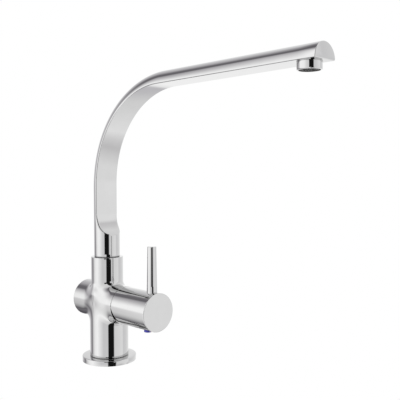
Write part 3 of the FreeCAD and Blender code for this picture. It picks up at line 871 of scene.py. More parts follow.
    def trim(self, build: Shell, place: Vector, outward: Vector) -> list[bmesh.types.BMVert]:
        """Cut the shell on a plane and return the open rim.

        Args:
            build: The shell.
            place: A point of the plane.
            outward: The plane's normal, towards what is cut off.

        Returns:
            The rim's points in order.
        """
        snap = self.snap_voxels * self.voxel
        for vert in build.verts:
            off = (vert.co - place).dot(outward)
            if abs(off) < snap:
                vert.co -= outward * off
        whole = list(build.verts) + list(build.edges) + list(build.faces)
        bmesh.ops.bisect_plane(
            build, geom=whole, dist=1e-4, plane_co=place, plane_no=outward, clear_outer=True
        )
        rim = {
            vert for edge in build.edges if edge.is_boundary
            for vert in edge.verts if abs((vert.co - place).dot(outward)) < 1e-3
        }
        start = min(rim, key=lambda vert: tuple(vert.co))
        loop = [start]
        while True:
            after = [
                edge.other_vert(loop[-1]) for edge in loop[-1].link_edges
                if edge.is_boundary and edge.other_vert(loop[-1]) in rim
            ]
            new = [vert for vert in after if vert not in loop[-2:] and (vert is not start or len(loop) > 2)]
            if not new or new[0] is start:
                return loop
            loop.append(new[0])

    def run_on(
        self, build: Shell, loop: list[bmesh.types.BMVert], axis: Axis, profile: Sequence[Span]
    ) -> None:
        """Carry an open rim on along a turned profile and close it.

        Args:
            build: The shell.
            loop: The rim's points in order.
            axis: The axis that the profile turns about.
            profile: Radius and place along the axis of each further ring.
        """
        arms = []
        for vert in loop:
            arm = vert.co - axis.start
            arms.append((arm - axis.along * arm.dot(axis.along)).normalized())
        row = loop
        for radius, place in profile:
            new = [build.verts.new(axis.start + axis.along * place + arm * radius) for arm in arms]
            for index in range(len(row)):
                after = (index + 1) % len(row)
                build.faces.new([row[index], row[after], new[after], new[index]])
            row = new
        build.faces.new(row)

    def round_rim(self, radius: float, end: float, inward: float) -> list[Span]:
        """Draw the rounded rim at the end of a cylinder.

        Args:
            radius: The cylinder's radius.
            end: Place of its end face along its axis.
            inward: 1 where the cylinder lies on the far side of the end face, else -1.

        Returns:
            Radius and place of the points after the rim's first.
        """
        inner = radius - 2 * self.rim
        corners = [(radius, end + inward * self.rim, 0.0), (radius, end, self.rim), (inner, end, 0.0)]
        return rounded(corners, False)[2:]

    def shell(self) -> Piece:
        """Build the casting with its rims, bores and base cavity.

        Returns:
            The casting, without its drilled holes.
        """
        build = bmesh.new()
        rough = self.rough_form()
        build.from_mesh(rough)
        bpy.data.meshes.remove(rough)
        self.even_out(build)
        level = Axis(Vector((0.0, 0.0, self.barrel_height)), FRONT)
        column = Axis(Vector((0.0, 0.0, 0.0)), UP)
        neck = Axis(Vector((0.0, self.neck_set_back, 0.0)), UP)
        stub = self.round_rim(self.barrel_radius, -self.barrel_back, 1.0)
        stub.append((0.5 * self.barrel_radius, -self.barrel_back))
        front = [
            (self.barrel_radius - self.edge, self.barrel_front),
            (self.nut_bore + self.edge, self.barrel_front),
            (self.nut_bore, self.barrel_front - self.edge),
            (self.nut_bore, self.nut_shelf),
            (self.cartridge_bore, self.nut_shelf),
            (self.cartridge_bore, -self.seat_behind),
        ]
        top = self.round_rim(self.neck_radius, self.neck_top, -1.0) + [
            (self.socket_radius + self.edge, self.neck_top),
            (self.socket_radius, self.neck_top - self.edge),
            (self.socket_radius, self.socket_floor),
        ]
        foot = [
            (self.column_radius - self.foot_chamfer, self.column_foot),
            (self.register_radius, self.column_foot),
            (self.register_radius, self.register_foot),
            (self.cavity_radius, self.register_foot),
            (self.cavity_radius, self.cavity_roof),
        ]
        for place, outward, axis, profile in (
            (Vector((0.0, self.barrel_back - self.rim, 0.0)), -FRONT, level, stub),
            (Vector((0.0, self.edge - self.barrel_front, 0.0)), FRONT, level, front),
            (Vector((0.0, 0.0, self.neck_top - self.rim)), UP, neck, top),
            (Vector((0.0, 0.0, self.column_foot + self.foot_chamfer)), -UP, column, foot),
        ):
            self.run_on(build, self.trim(build, place, outward), axis, profile)
        return finish_mesh(build, "body_shell")

    def holes(self) -> list[Piece]:
        """Build the tools that cut the stud hole, the hose threads and the screw hole.

        Returns:
            The tools, each a little longer than its hole.
        """
        near, far = 0.9 * self.socket_radius, self.neck_radius + 2 * self.overlap
        roof, inlet, below = self.cavity_roof, self.inlet_radius, -self.overlap
        tools = []
        for name, start, along, radius, low, high in (
            ("stud_hole", (0.0, -self.stud_from_axis, roof), UP, self.stud_hole, below, self.stud_hole_depth),
            ("cold_hole", (self.inlet_side, self.inlet_back, roof), UP, inlet, below, self.inlet_depth),
            ("hot_hole", (-self.inlet_side, self.inlet_back, roof), UP, inlet, below, self.inlet_depth),
            ("screw_hole", (0.0, self.neck_set_back, self.screw_height), -FRONT, self.screw_hole, near, far),
        ):
            profile = [(0.0, low), (radius, low), (radius, high), (0.0, high)]
            tools.append(turned(name, Axis(Vector(start), along), profile, self.hole_count, False))
        return tools

    def unplated(self, place: Vector) -> bool:
        """Tell whether a place of the casting lies in its bores or under its foot.

        Args:
            place: The place in millimetres.

        Returns:
            True well below the outer skin and short of the plated end faces.
        """
        deep = float(self.form(np.array([place]))[0]) < -self.skin * self.rim
        between = self.edge - self.barrel_front < place.y < self.barrel_back - self.rim
        return deep and between and place.z < self.neck_top - self.edge

    def build(self) -> None:
        """Build and dress the casting."""
        piece = dress(cut(self.shell(), self.holes()), Body.BODY, CHROME, "body_casting")
        line_inside(piece, CASTING, self.unplated)


@dataclass
class BaseFlange:
    """The round plate that covers the deck hole, with its rubber seal."""

    radius: float = 29.0
    thickness: float = 5.5
    edge: float = 0.8
    fine_edge: float = 0.1
    bore_edge: float = 0.2
    bore: float = 18.1
    groove_outer: float = 26.5
    groove_inner: float = 22.5
    groove_depth: float = 2.0

    def build(self) -> None:
        """Build and dress the flange and dress its seal."""
        profile = rounded([
            (self.bore, 0.0, self.bore_edge),
            (self.groove_inner, 0.0, self.fine_edge),
            (self.groove_inner, self.groove_depth, 0.0),
            (self.groove_outer, self.groove_depth, 0.0),
            (self.groove_outer, 0.0, self.fine_edge),
            (self.radius, 0.0, self.fine_edge),
            (self.radius, self.thickness, self.edge),
            (self.bore, self.thickness, self.fine_edge),
        ], True)
        flange = turned("flange", Axis(Vector((0.0, 0.0, 0.0)), UP), profile, 160)
        dress(flange, Body.BODY, CHROME, "base_flange")
        dress_nodes({"flange_seal": RUBBER})


@dataclass(frozen=True)
class ArmLine:
    """The centre line of the spout: up the riser to a corner, then forward along the arm."""

    set_back: float = 3.0
    height: float = 286.5
    rise: float = math.radians(1.0)
    reach: float = 278.4

    def corner(self) -> Vector:
        """Return where the riser's and the arm's lines cross."""
        return Vector((0.0, self.set_back, self.height))

    def along(self) -> Vector:
        """Return the arm's direction."""
        return Vector((0.0, -math.cos(self.rise), math.sin(self.rise)))

    def down(self) -> Vector:
        """Return the direction in which the arm's flat faces."""
        return Vector((0.0, -math.sin(self.rise), -math.cos(self.rise)))


ARM = ArmLine()


@dataclass
class Spout:
    """The swivel spout: a round foot, a scooped D riser, a wide bend and a level D arm."""

    radius: float = 13.9
    foot: float = 112.8
    bend_radius: float = 101.5
    flat_bend_radius: float = 98.4
    scoop_radius: float = 24.0
    scoop_height: float = 158.5
    edge_round: float = 0.9
    lip_round: float = 2.5
    lip_edge: float = 4.0
    foot_edge: float = 0.25
    end_edge: float = 0.8
    bore: float = 12.1
    bore_depth: float = 16.0
    widest: float = 0.9992  # share of the radius where the flat of the round foot vanishes
    flat_guard: float = 0.25
    foot_clear: float = 3.0
    lip_clear: float = 0.6
    lip_fade: float = 0.9
    arc_steps: int = 72
    corner_steps: int = 5
    flat_steps: int = 8
    lip_steps: int = 8
    scoop_steps: int = 32
    riser_rings: int = 5
    arm_rings: int = 12
    end_steps: int = 4

    def section(self, flat: float, trim: float, corner: float) -> list[Span]:
        """Draw the round section with a flat across it.

        Args:
            flat: How far the flat lies beyond the centre, towards the inside of the bend.
            trim: How much the whole outline is drawn in.
            corner: Radius of the two edges beside the flat.

        Returns:
            Points as places across and towards the inside, once round.
        """
        outer = self.radius - trim
        flat = min(flat, self.radius * self.widest) - trim
        across = math.sqrt(max((outer - corner) ** 2 - (flat - corner) ** 2, 0.0))
        lift = math.atan2(flat - corner, across)
        half_turn, quarter, steps = math.pi, math.pi / 2, self.corner_steps
        edge = across - min(self.flat_guard, 0.2 * across)
        points = arc((0.0, 0.0), outer, half_turn - lift, math.tau + lift, self.arc_steps)
        points += arc((across, flat - corner), corner, lift, quarter, steps)[1:]
        points += [(edge * (1 - 2 * step / self.flat_steps), flat) for step in range(self.flat_steps + 1)]
        points += arc((-across, flat - corner), corner, quarter, half_turn - lift, steps)[:-1]
        return points

    def ring(
        self, centre: Vector, inward: Vector, flat: float, trim: float = 0.0, corner: Optional[float] = None
    ) -> Ring:
        """Return one section in space.

        Args:
            centre: The section's centre.
            inward: Unit direction from the centre towards the flat.
            flat: How far the flat lies beyond the centre.
            trim: How much the outline is drawn in.
            corner: Radius of the edges beside the flat, if it isn't the riser's.

        Returns:
            The section's points.
        """
        outline = self.section(flat, trim, self.edge_round if corner is None else corner)
        return [centre + SIDE * across + inward * into for across, into in outline]

    def riser_ring(
        self, height: float, flat: float, trim: float = 0.0, corner: Optional[float] = None
    ) -> Ring:
        """Return a section of the upright part at a height, with the rest as in ring."""
        return self.ring(Vector((0.0, ARM.set_back, height)), FRONT, flat, trim, corner)

    def scoop(self) -> list[Span]:
        """Follow the scoop's flat from its rolled lip to the riser.

        Returns:
            The height and the flat's place beyond the centre at each step.
        """
        roll, size = self.lip_round, self.scoop_radius
        drop = math.sqrt((size + roll) ** 2 - (size - self.radius + roll) ** 2)
        turn = math.atan2(drop, size - self.radius + roll)
        lip = arc((self.radius - roll, self.scoop_height - drop), roll, 0.0, turn, self.lip_steps)
        hollow = arc((size, self.scoop_height), size, math.pi + turn, math.pi, self.scoop_steps)
        return [(height, flat) for flat, height in lip + hollow[1:]]

    def bend_flat(self, turn: float) -> float:
        """Place the flat in the bend: up the riser's plane, round its own bend, along the arm's plane.

        Args:
            turn: Angle of the bend in radians.

        Returns:
            How far the flat lies beyond the centre line.
        """
        tangent = math.tan((math.pi / 2 - ARM.rise) / 2.0)
        centre_y, centre_z = ARM.set_back - self.bend_radius, ARM.height - self.bend_radius * tangent
        flat_y, flat_z = ARM.set_back - self.flat_bend_radius, ARM.height - self.flat_bend_radius * tangent
        out_y, out_z = math.cos(turn), math.sin(turn)
        straight = self.bend_radius / max(out_y, 1e-6)
        if centre_z + straight * out_z <= flat_z:
            return self.bend_radius - straight
        gap_y, gap_z = centre_y - flat_y, centre_z - flat_z
        half = gap_y * out_y + gap_z * out_z
        rest = gap_y ** 2 + gap_z ** 2 - self.flat_bend_radius ** 2
        curved = -half + math.sqrt(half ** 2 - rest)
        y, z = centre_y + curved * out_y, centre_z + curved * out_z
        if math.atan2(z - flat_z, y - flat_y) <= math.pi / 2 - ARM.rise:
            return self.bend_radius - curved
        normal_y, normal_z = math.sin(ARM.rise), math.cos(ARM.rise)
        gap = (ARM.set_back - centre_y) * normal_y + (ARM.height - centre_z) * normal_z
        return self.bend_radius - gap / (out_y * normal_y + out_z * normal_z)

    def rings(self) -> list[Ring]:
        """Draw the spout's sections.

        Returns:
            All sections from the foot to the end face.
        """
        rings = []
        for height in (0.0, self.foot_edge * 0.3, self.foot_edge):
            trim = self.foot_edge - math.sqrt(max(self.foot_edge ** 2 - (self.foot_edge - height) ** 2, 0.0))
            rings.append(self.riser_ring(self.foot + height, self.radius, trim))
        scoop = self.scoop()
        lip = scoop[0][0]
        for height in np.linspace(self.foot + self.foot_clear, lip - self.lip_clear, self.riser_rings):
            rings.append(self.riser_ring(height, self.radius))
        for height, flat in scoop:
            left = (self.scoop_height - height) / (self.scoop_height - lip)
            corner = self.edge_round + (self.lip_edge - self.edge_round) * left ** self.lip_fade
            rings.append(self.riser_ring(height, flat, 0.0, corner))
        quarter = math.pi / 2 - ARM.rise
        first = self.bend_radius * math.tan(quarter / 2.0)
        bend_start = ARM.height - first
        for height in np.linspace(self.scoop_height, bend_start, self.riser_rings)[1:-1]:
            rings.append(self.riser_ring(height, 0.0))
        bend_centre = Vector((0.0, ARM.set_back - self.bend_radius, bend_start))
        for step in range(self.arc_steps + 1):
            turn = quarter * step / self.arc_steps
            out = Vector((0.0, math.cos(turn), math.sin(turn)))
            rings.append(self.ring(bend_centre + out * self.bend_radius, -out, self.bend_flat(turn)))
        edge = self.end_edge
        places = [(0.0, place) for place in np.linspace(first, ARM.reach - edge, self.arm_rings)[1:]]
        places += arc((-edge, ARM.reach - edge), edge, 0.0, math.pi / 2, self.end_steps)[1:]
        for size, place in places:
            rings.append(self.ring(ARM.corner() + ARM.along() * place, ARM.down(), 0.0, -size))
        return rings

    def build(self) -> None:
        """Build and dress the spout and dress what it turns on."""
        rings = self.rings()
        inner = []
        for point in rings[0]:
            arm = Vector((point.x, point.y - ARM.set_back, 0.0)).normalized() * self.bore
            inner.append(Vector((arm.x, arm.y + ARM.set_back, self.foot)))
        roof = [point + UP * self.bore_depth for point in inner]
        dress(skinned("spout", [roof, inner] + rings), Body.SPOUT, CHROME, "spout_tube")
        dress_nodes({
            "spout_spigot": BRASS, "spigot_o_rings": RUBBER, "bearing_ring": GREY_ACETAL,
            "retaining_screw": STAINLESS,
        })


@dataclass
class Aerator:
    """The chrome housing under the end of the arm, with its straightener and grid."""

    from_end: float = 14.7
    radius: float = 10.3
    skirt: float = 9.88
    skirt_gap: float = 0.06
    seal: float = 0.6
    drop: float = 6.8
    edge: float = 1.1
    bore: float = 7.85
    mouth: float = 8.7
    mouth_depth: float = 1.6
    mouth_edge: float = 0.15
    thread_radius: float = 8.95
    thread_top: float = -5.0
    thread_edge: float = 0.3

    def axis(self) -> Axis:
        """Return the aerator's axis, pointing down."""
        return Axis(ARM.corner() + ARM.along() * (ARM.reach - self.from_end), ARM.down())

    def in_mouth(self, place: Vector) -> bool:
        """Tell whether a place of the housing lies in its bore or its mouth.

        Args:
            place: The place in millimetres.

        Returns:
            True inside, short of the lower rim.
        """
        axis = self.axis()
        arm = place - axis.start
        depth = arm.dot(axis.along)
        return (arm - axis.along * depth).length < self.mouth + 0.05 and depth < self.drop - 0.05

    def build(self) -> None:
        """Build and dress the housing and dress the insert, grid and seal."""
        profile = rounded([
            (self.bore, self.thread_top, 0.0),
            (self.bore, self.drop - self.mouth_depth, 0.0),
            (self.mouth, self.drop - self.mouth_depth, 0.0),
            (self.mouth, self.drop, self.mouth_edge),
            (self.radius, self.drop, self.edge),
            (self.radius, self.skirt_gap, 0.0),
            (self.skirt, self.skirt_gap, 0.0),
            (self.skirt, self.seal, 0.0),
            (self.thread_radius, self.seal, 0.0),
            (self.thread_radius, self.thread_top, self.thread_edge),
        ], True, 5)
        shell = turned("aerator_shell", self.axis(), profile, 120)
        dress(shell, Body.SPOUT, CHROME, "aerator_housing")
        # the mouth's lining is painted shade, nearly black
        line_inside(shell, BRASS_PAINTED_SHADE, self.in_mouth)
        dress_nodes({"aerator_seal": RUBBER, "aerator_insert": DARK_ACETAL, "aerator_grid": DARK_ACETAL})


@dataclass
class LeverCap:
    """The tilting cap in line with the barrel, with its pin lever and its index plug."""

    height: float = 63.4
    radius: float = 19.6
    bore: float = 17.4
    bore_edge: float = 1.0
    back: float = 28.48
    front: float = 81.0
    end_wall: float = 2.5
    end_edge: float = 0.5
    rear_edge: float = 0.2
    relief_slope: float = 21.5
    lever_front: float = 71.4
    lever_seat: float = 17.8
    lever_base: float = 5.35
    lever_top: float = 4.55
    lever_length: float = 48.0
    lever_edge: float = 0.45
    plug_front: float = 65.0
    plug_radius: float = 4.1
    plug_rise: float = 2.4
    plug_edge: float = 0.7
    plug_dome: float = 0.1
    root: float = 2.0
    end_steps: int = 4
    count: int = 160

    def axis(self) -> Axis:
        """Return the cap's axis, pointing to the front from the column."""
        return Axis(Vector((0.0, 0.0, self.height)), FRONT)

    def rear(self, radius: float, extra: float) -> Ring:
        """Draw a ring of the rear rim, whose lower half is cut back.

        Args:
            radius: The ring's radius.
            extra: How far it lies in front of the rim's end.

        Returns:
            The ring's points.
        """
        ring = []
        for step in range(self.count):
            angle = math.tau * step / self.count
            below = max(0.0, self.height - self.axis().point(radius, 0.0, angle).z)
            place = self.back + extra + below * math.tan(math.radians(self.relief_slope))
            ring.append(self.axis().point(radius, place, angle))
        return ring

    def cap(self) -> Piece:
        """Build the cap.

        Returns:
            The piece, not yet dressed.
        """
        axis = self.axis()
        wall_front = self.front - self.end_wall
        rings = [axis.ring(radius, place, self.count) for radius, place in (
            (0.0, wall_front),
            (self.bore - self.bore_edge, wall_front),
            (self.bore, wall_front - self.bore_edge),
        )]
        rings += [self.rear(radius, extra) for radius, extra in (
            (self.bore, self.rear_edge),
            (self.bore + self.rear_edge, 0.0),
            (self.radius - self.rear_edge, 0.0),
            (self.radius - 0.3 * self.rear_edge, 0.3 * self.rear_edge),
            (self.radius, self.rear_edge),
            (self.radius, 2.5 * self.rear_edge),
        )]
        edge = self.end_edge
        outside = [(self.radius, self.front - 2 * edge)]
        outside += arc((self.radius - edge, self.front - edge), edge, 0.0, math.pi / 2, self.end_steps)
        outside += [(self.radius - 3 * edge, self.front), (0.0, self.front)]
        rings += [axis.ring(radius, place, self.count) for radius, place in outside]
        return skinned("cap", rings)

    def unplated(self, place: Vector) -> bool:
        """Tell whether a place of the cap lies in its bore."""
        level = math.hypot(place.x, place.z - self.height)
        return level < self.bore + 0.1 * self.rear_edge and -place.y < self.front - 0.5 * self.end_wall

    def lever(self) -> Piece:
        """Build the tapered pin lever.

        Returns:
            The piece, not yet dressed.
        """
        axis = Axis(Vector((0.0, -self.lever_front, self.height + self.lever_seat)), UP)
        profile = rounded([
            (0.0, -self.root, 0.0),
            (self.lever_base, -self.root, 0.0),
            (self.lever_base, 0.0, 0.0),
            (self.lever_top, self.lever_length, self.lever_edge),
            (0.0, self.lever_length, 0.0),
        ], False, 5)
        return turned("lever", axis, profile, 96, False)

    def plug(self) -> Piece:
        """Build the index plug, a low dome under the cap.

        Returns:
            The piece, not yet dressed.
        """
        axis = Axis(Vector((0.0, -self.plug_front, self.height - self.radius)), -UP)
        profile = rounded([
            (0.0, -self.root, 0.0),
            (self.plug_radius, -self.root, 0.0),
            (self.plug_radius, self.plug_rise, self.plug_edge),
            (0.0, self.plug_rise + self.plug_dome, 0.0),
        ], False, 6)
        return turned("index_button", axis, profile, 96, False)

    def build(self) -> None:
        """Build and dress the cap's pieces."""
        cap = dress(self.cap(), Body.HANDLE, CHROME, "handle_cap")
        # the bore's lining is painted shade, nearly black
        line_inside(cap, BRASS_PAINTED_SHADE, self.unplated)
        dress(self.lever(), Body.HANDLE, CHROME, "lever_pin")
        dress(self.plug(), Body.HANDLE, INDEX, "index_plug")
        dress_nodes({"grub_screw": STAINLESS, "stem_adapter": BRASS, "adapter_screw": ZINC, "stem": BRASS})


@dataclass
class Cartridge:
    """The valve cartridge in the barrel and what holds it."""

    height: float = 63.4
    ring_back: float = 27.5
    ring_band: float = 29.0
    ring_front: float = 32.8
    ring_outer: float = 16.6
    ring_inner: float = 12.1
    ring_lip: float = 13.1
    fine_edge: float = 0.1
    band_edge: float = 0.4
    dome_edge: float = 1.5
    lip_edge: float = 0.3

    def build(self) -> None:
        """Build and dress the cover ring and dress the cartridge's nodes."""
        middle = math.sqrt(0.5)
        profile = rounded([
            (self.ring_inner, self.ring_back, 0.0),
            (self.ring_outer, self.ring_back, self.fine_edge),
            (self.ring_outer, self.ring_band, self.band_edge),
            (self.ring_lip + (self.ring_outer - self.ring_lip) * middle,
             self.ring_band + (self.ring_front - self.ring_band) * middle, self.dome_edge),
            (self.ring_lip, self.ring_front, self.lip_edge),
            (self.ring_inner, self.ring_front, self.fine_edge),
        ], True)
        cover = turned("cover", Axis(Vector((0.0, 0.0, self.height)), FRONT), profile, 128)
        dress(cover, Body.BODY, CHROME, "cover_ring")
        # the cartridge nut is painted nearly black as the shade in the barrel's gap
        dress_nodes({
            "cartridge_nut": BRASS_PAINTED_SHADE, "cartridge_housing": ACETAL, "cartridge_base": ACETAL,
            "base_seals": RUBBER, "fixed_disc": ALUMINA, "moving_disc": ALUMINA,
            "disc_carrier": ACETAL, "stem_carrier": ACETAL, "stem_pin": STAINLESS,
        })


@dataclass
class DeckFixing:
    """What holds the tap from under the deck."""

    stud_from_axis: float = 11.0
    stud_radius: float = 4.0
    stud_foot: float = -62.0
    stud_top: float = 30.5
    pitch: float = 1.25
    thread_depth: float = 0.75
    thread_flat: float = 0.1  # share of the flank's height that is flat at the crest and at the root
    edge: float = 0.6
    rows_in_turn: int = 8
    count: int = 32

    def stud(self) -> Piece:
        """Build the stud with its rolled thread.

        Returns:
            The piece, not yet dressed.
        """
        axis = Axis(Vector((0.0, -self.stud_from_axis, 0.0)), UP)
        rings = []
        rows = int((self.stud_top - self.stud_foot) / (self.pitch / self.rows_in_turn))
        for row in range(rows + 1):
            height = self.stud_foot + (self.stud_top - self.stud_foot) * row / rows
            from_end = min(height - self.stud_foot, self.stud_top - height)
            ring = []
            for step in range(self.count):
                phase = (height / self.pitch - step / self.count) % 1.0
                crest = 1.0 - abs(2.0 * phase - 1.0)
                flank = (crest - self.thread_flat) / (1.0 - 2.0 * self.thread_flat)
                depth = self.thread_depth * min(max(flank, 0.0), 1.0)
                radius = min(self.stud_radius - depth, self.stud_radius - self.edge + from_end)
                ring.append(axis.point(radius, height, math.tau * step / self.count))
            rings.append(ring)
        return skinned("stud", rings, crease=75.0)

    def build(self) -> None:
        """Build and dress the stud and dress the clamp."""
        dress(self.stud(), Body.BODY, ZINC, "mounting_stud")
        dress_nodes({"clamp_rubber": RUBBER, "clamp_plate": ZINC, "stud_nut": BRASS})


# The studio


@dataclass
class Studio:
    """A white tent with a black card beside the camera, and a white floor.

    Each wall is one row of the tent: angles from the camera's side, and the sRGB level that chrome
    shows there. From below, the rows are ground, column, level, high and zenith. A band gives the
    elevations between which its row takes over. The black card has one place near eye level, from
    card_rise to card_fall, and another above and below that.
    """

    camera_place: Corner = (-417.3, -555.35, 206.93)
    camera_bearing: float = 44.89
    camera_pitch: float = -2.78
    lens: float = 57.37
    sensor: float = 36.0
    clip: Span = (10.0, 50000.0)
    tent_bearing: float = 233.2
    floor_half: float = 6000.0
    floor_drop: float = 0.02
    chrome_mirrors: float = 0.524
    neutral_above: float = 205.0
    violet_below: float = 150.0
    violet_cast: float = 4.0
    card_level: int = 30
    ground_band: Span = (-16.0, -23.0)
    level_band: Span = (-9.0, 0.0)
    high_band: Span = (8.0, 34.0)
    zenith_band: Span = (46.0, 68.0)
    card_rise: Span = (-8.02, -7.86)
    card_fall: Span = (10.0, 12.0)
    column_walls: Walls = (
        (-180.0, 200), (-162.0, 195), (-137.0, 160), (-122.0, 105), (-111.0, 190), (-95.0, 230), (-75.0, 240),
        (-34.0, 195), (28.0, 195), (34.0, 205), (84.0, 215), (92.0, 195), (132.0, 205), (180.0, 205),
    )
    level_walls: Walls = (
        (-180.0, 200), (-162.0, 195), (-126.0, 160), (-111.0, 225), (-104.0, 240), (-66.0, 235), (-40.0, 205),
        (28.0, 195), (78.0, 220), (90.0, 195), (132.0, 205), (180.0, 205),
    )
    high_walls: Walls = (
        (-180.0, 195), (-150.0, 160), (-134.0, 100), (-123.0, 95), (-117.0, 160), (-84.0, 240), (-40.0, 210),
        (28.0, 190), (46.0, 210), (76.0, 215), (82.0, 190), (120.0, 210), (180.0, 195),
    )
    ground_walls: Walls = (
        (-180.0, 65), (-160.0, 70), (-141.0, 100), (-133.0, 90), (-110.0, 200), (-84.0, 240), (-40.0, 210),
        (50.0, 185), (75.0, 215), (84.0, 185), (99.0, 220), (155.0, 200), (171.0, 170), (180.0, 180),
    )
    zenith_walls: Walls = (
        (-180.0, 110), (-160.0, 95), (-112.0, 90), (-90.0, 150), (-60.0, 200), (150.0, 205), (170.0, 150),
        (180.0, 110),
    )
    low_card: Walls = ((-8.0, 255), (-5.0, 30), (26.4, 30), (29.4, 255))
    level_card: Walls = ((-24.0, 255), (-21.0, 30), (16.4, 30), (19.4, 255))

    def camera(self) -> None:
        """Make the camera at the photograph's place and angle."""
        view = bpy.data.cameras.new("camera")
        view.sensor_fit = "HORIZONTAL"
        view.sensor_width = self.sensor
        view.lens = self.lens
        view.clip_start, view.clip_end = (distance * MM for distance in self.clip)
        holder = bpy.data.objects.new("camera", view)
        bpy.context.scene.collection.objects.link(holder)
        holder.location = Vector(self.camera_place) * MM
        bearing, pitch = math.radians(self.camera_bearing), math.radians(self.camera_pitch)
        level = math.cos(pitch)
        ahead = Vector((math.cos(bearing) * level, math.sin(bearing) * level, math.sin(pitch)))
        holder.rotation_mode = "QUATERNION"
        holder.rotation_quaternion = ahead.to_track_quat("-Z", "Y")
        bpy.context.scene.camera = holder

    def light(self, level: int) -> Light:
        """Return a wall's colour, which is a faint violet where the wall is dim.

        Args:
            level: sRGB level of its green.

        Returns:
            The linear colour.
        """
        dim = min(max((self.neutral_above - level) / (self.neutral_above - self.violet_below), 0.0), 1.0)
        cast = self.violet_cast * dim if level > self.card_level else 0.0
        return linear(f"#{level + round(cast / 2):02X}{level:02X}{level + round(cast):02X}")

    def wall(self, tree: Tree, place: Socket, stops: Walls) -> Socket:
        """Draw the tent's brightness once round at one height.

        Args:
            tree: The world's node tree.
            place: The way round the tent from 0 to 1.
            stops: Angle from the camera's side and sRGB level of each stop.

        Returns:
            The colour.
        """
        ramp = add_node(tree, "ShaderNodeValToRGB", None, {"Fac": place})
        return set_stops(ramp, [(0.5 + spot / 360.0, self.light(level)) for spot, level in stops])

    def share(self, tree: Tree, height: Socket, band: Span) -> Socket:
        """Tell how much a band of the tent counts.

        Args:
            tree: The world's node tree.
            height: Sine of the elevation.
            band: The elevations of no share and of the whole.

        Returns:
            The share from 0 to 1.
        """
        start, whole = (math.sin(math.radians(elevation)) for elevation in band)
        settings = {"interpolation_type": "SMOOTHSTEP", "From Min": start, "From Max": whole}
        return add_node(tree, "ShaderNodeMapRange", settings, {"Value": height}).outputs["Result"]

    def mix(
        self, tree: Tree, blend: str, share: Union[float, Socket], first: Socket, second: Socket
    ) -> Socket:
        """Mix two colours of the tent.

        Args:
            tree: The world's node tree.
            blend: Blender's name of the way of mixing.
            share: How much the second colour counts, as a number or a socket.
            first: The first colour.
            second: The second colour.

        Returns:
            The mixed colour.
        """
        settings, links = {"data_type": "RGBA", "blend_type": blend}, {6: first, 7: second}
        (settings if isinstance(share, float) else links)[0] = share
        return add_node(tree, "ShaderNodeMix", settings, links).outputs[2]

    def tent(self) -> None:
        """Light the scene with the tent's walls, which chrome mirrors but the camera sees as plain white."""
        world = bpy.data.worlds.new("tent")
        bpy.context.scene.world = world
        world.use_nodes = True
        tree = world.node_tree
        tree.nodes.clear()
        way = add_node(tree, "ShaderNodeTexCoord").outputs["Generated"]
        parts = add_node(tree, "ShaderNodeSeparateXYZ", None, {"Vector": way}).outputs
        angle = add_node(tree, "ShaderNodeMath", {"operation": "ARCTAN2"}, {0: parts["Y"], 1: parts["X"]})
        turns = {"operation": "MULTIPLY_ADD", 1: 1.0 / math.tau, 2: 0.5 - self.tent_bearing / 360.0}
        offset = add_node(tree, "ShaderNodeMath", turns, {0: angle.outputs[0]})
        wrap = {"operation": "WRAP", 1: 0.0, 2: 1.0}
        place = add_node(tree, "ShaderNodeMath", wrap, {0: offset.outputs[0]}).outputs[0]
        seen = self.wall(tree, place, self.column_walls)
        for stops, band in (
            (self.ground_walls, self.ground_band), (self.level_walls, self.level_band),
            (self.high_walls, self.high_band), (self.zenith_walls, self.zenith_band),
        ):
            row = self.wall(tree, place, stops)
            seen = self.mix(tree, "MIX", self.share(tree, parts["Z"], band), seen, row)
        card = low_card = self.wall(tree, place, self.low_card)
        level_card = self.wall(tree, place, self.level_card)
        for other, band in ((level_card, self.card_rise), (low_card, self.card_fall)):
            card = self.mix(tree, "MIX", self.share(tree, parts["Z"], band), card, other)
        seen = self.mix(tree, "MULTIPLY", 1.0, seen, card)
        strength = 1.0 / self.chrome_mirrors
        walls = add_node(tree, "ShaderNodeBackground", {"Strength": strength}, {"Color": seen})
        plain = add_node(tree, "ShaderNodeBackground", {"Color": (1.0, 1.0, 1.0, 1.0)})
        ray = add_node(tree, "ShaderNodeLightPath").outputs["Is Camera Ray"]
        mix = add_node(tree, "ShaderNodeMixShader", None, {0: ray, 1: walls.outputs[0], 2: plain.outputs[0]})
        add_node(tree, "ShaderNodeOutputWorld", None, {"Surface": mix.outputs[0]})

    def floor(self) -> None:
        """Lay the white floor, which stands for the deck and is seen from above only."""
        half, drop = self.floor_half * MM, self.floor_drop * MM
        mesh = bpy.data.meshes.new("floor")
        corners = [(-half, -half, -drop), (half, -half, -drop), (half, half, -drop), (-half, half, -drop)]
        mesh.from_pydata(corners, [], [(0, 1, 2, 3)])
        paper = bpy.data.materials.new("white_paper")
        paper.use_nodes = True
        tree = paper.node_tree
        tree.nodes.clear()
        glow = add_node(tree, "ShaderNodeEmission", {"Color": (1.0, 1.0, 1.0, 1.0)})
        clear = add_node(tree, "ShaderNodeBsdfTransparent")
        back = add_node(tree, "ShaderNodeNewGeometry").outputs["Backfacing"]
        mix = add_node(tree, "ShaderNodeMixShader", None, {0: back, 1: glow.outputs[0], 2: clear.outputs[0]})
        add_node(tree, "ShaderNodeOutputMaterial", None, {"Surface": mix.outputs[0]})
        mesh.materials.append(paper)
        plane = linked("floor", mesh)
        for kind in ("glossy", "diffuse", "transmission", "shadow"):
            setattr(plane, f"visible_{kind}", False)

    def build(self) -> None:
        """Set up the camera, the tent, the floor and the plain colour transform."""
        self.camera()
        self.tent()
        self.floor()
        settings = bpy.context.scene.view_settings
        settings.view_transform = "Standard"
        settings.look = "None"


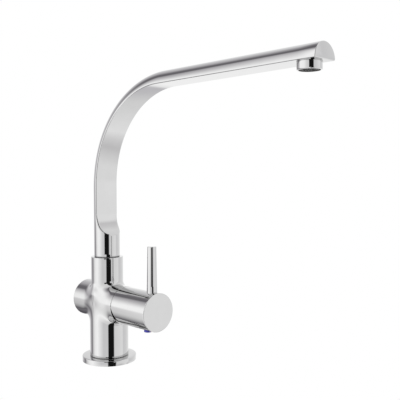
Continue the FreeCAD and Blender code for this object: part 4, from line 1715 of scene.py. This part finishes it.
def main() -> None:
    """Build the studio and the tap's sub-assemblies in order."""
    logging.basicConfig(level=logging.INFO, format="%(name)s %(message)s")
    Studio().build()
    for part in (DeckFixing(), BaseFlange(), ValveBody(), Cartridge(), LeverCap(), Spout(), Aerator()):
        part.build()


if __name__ == "__main__":
    main()
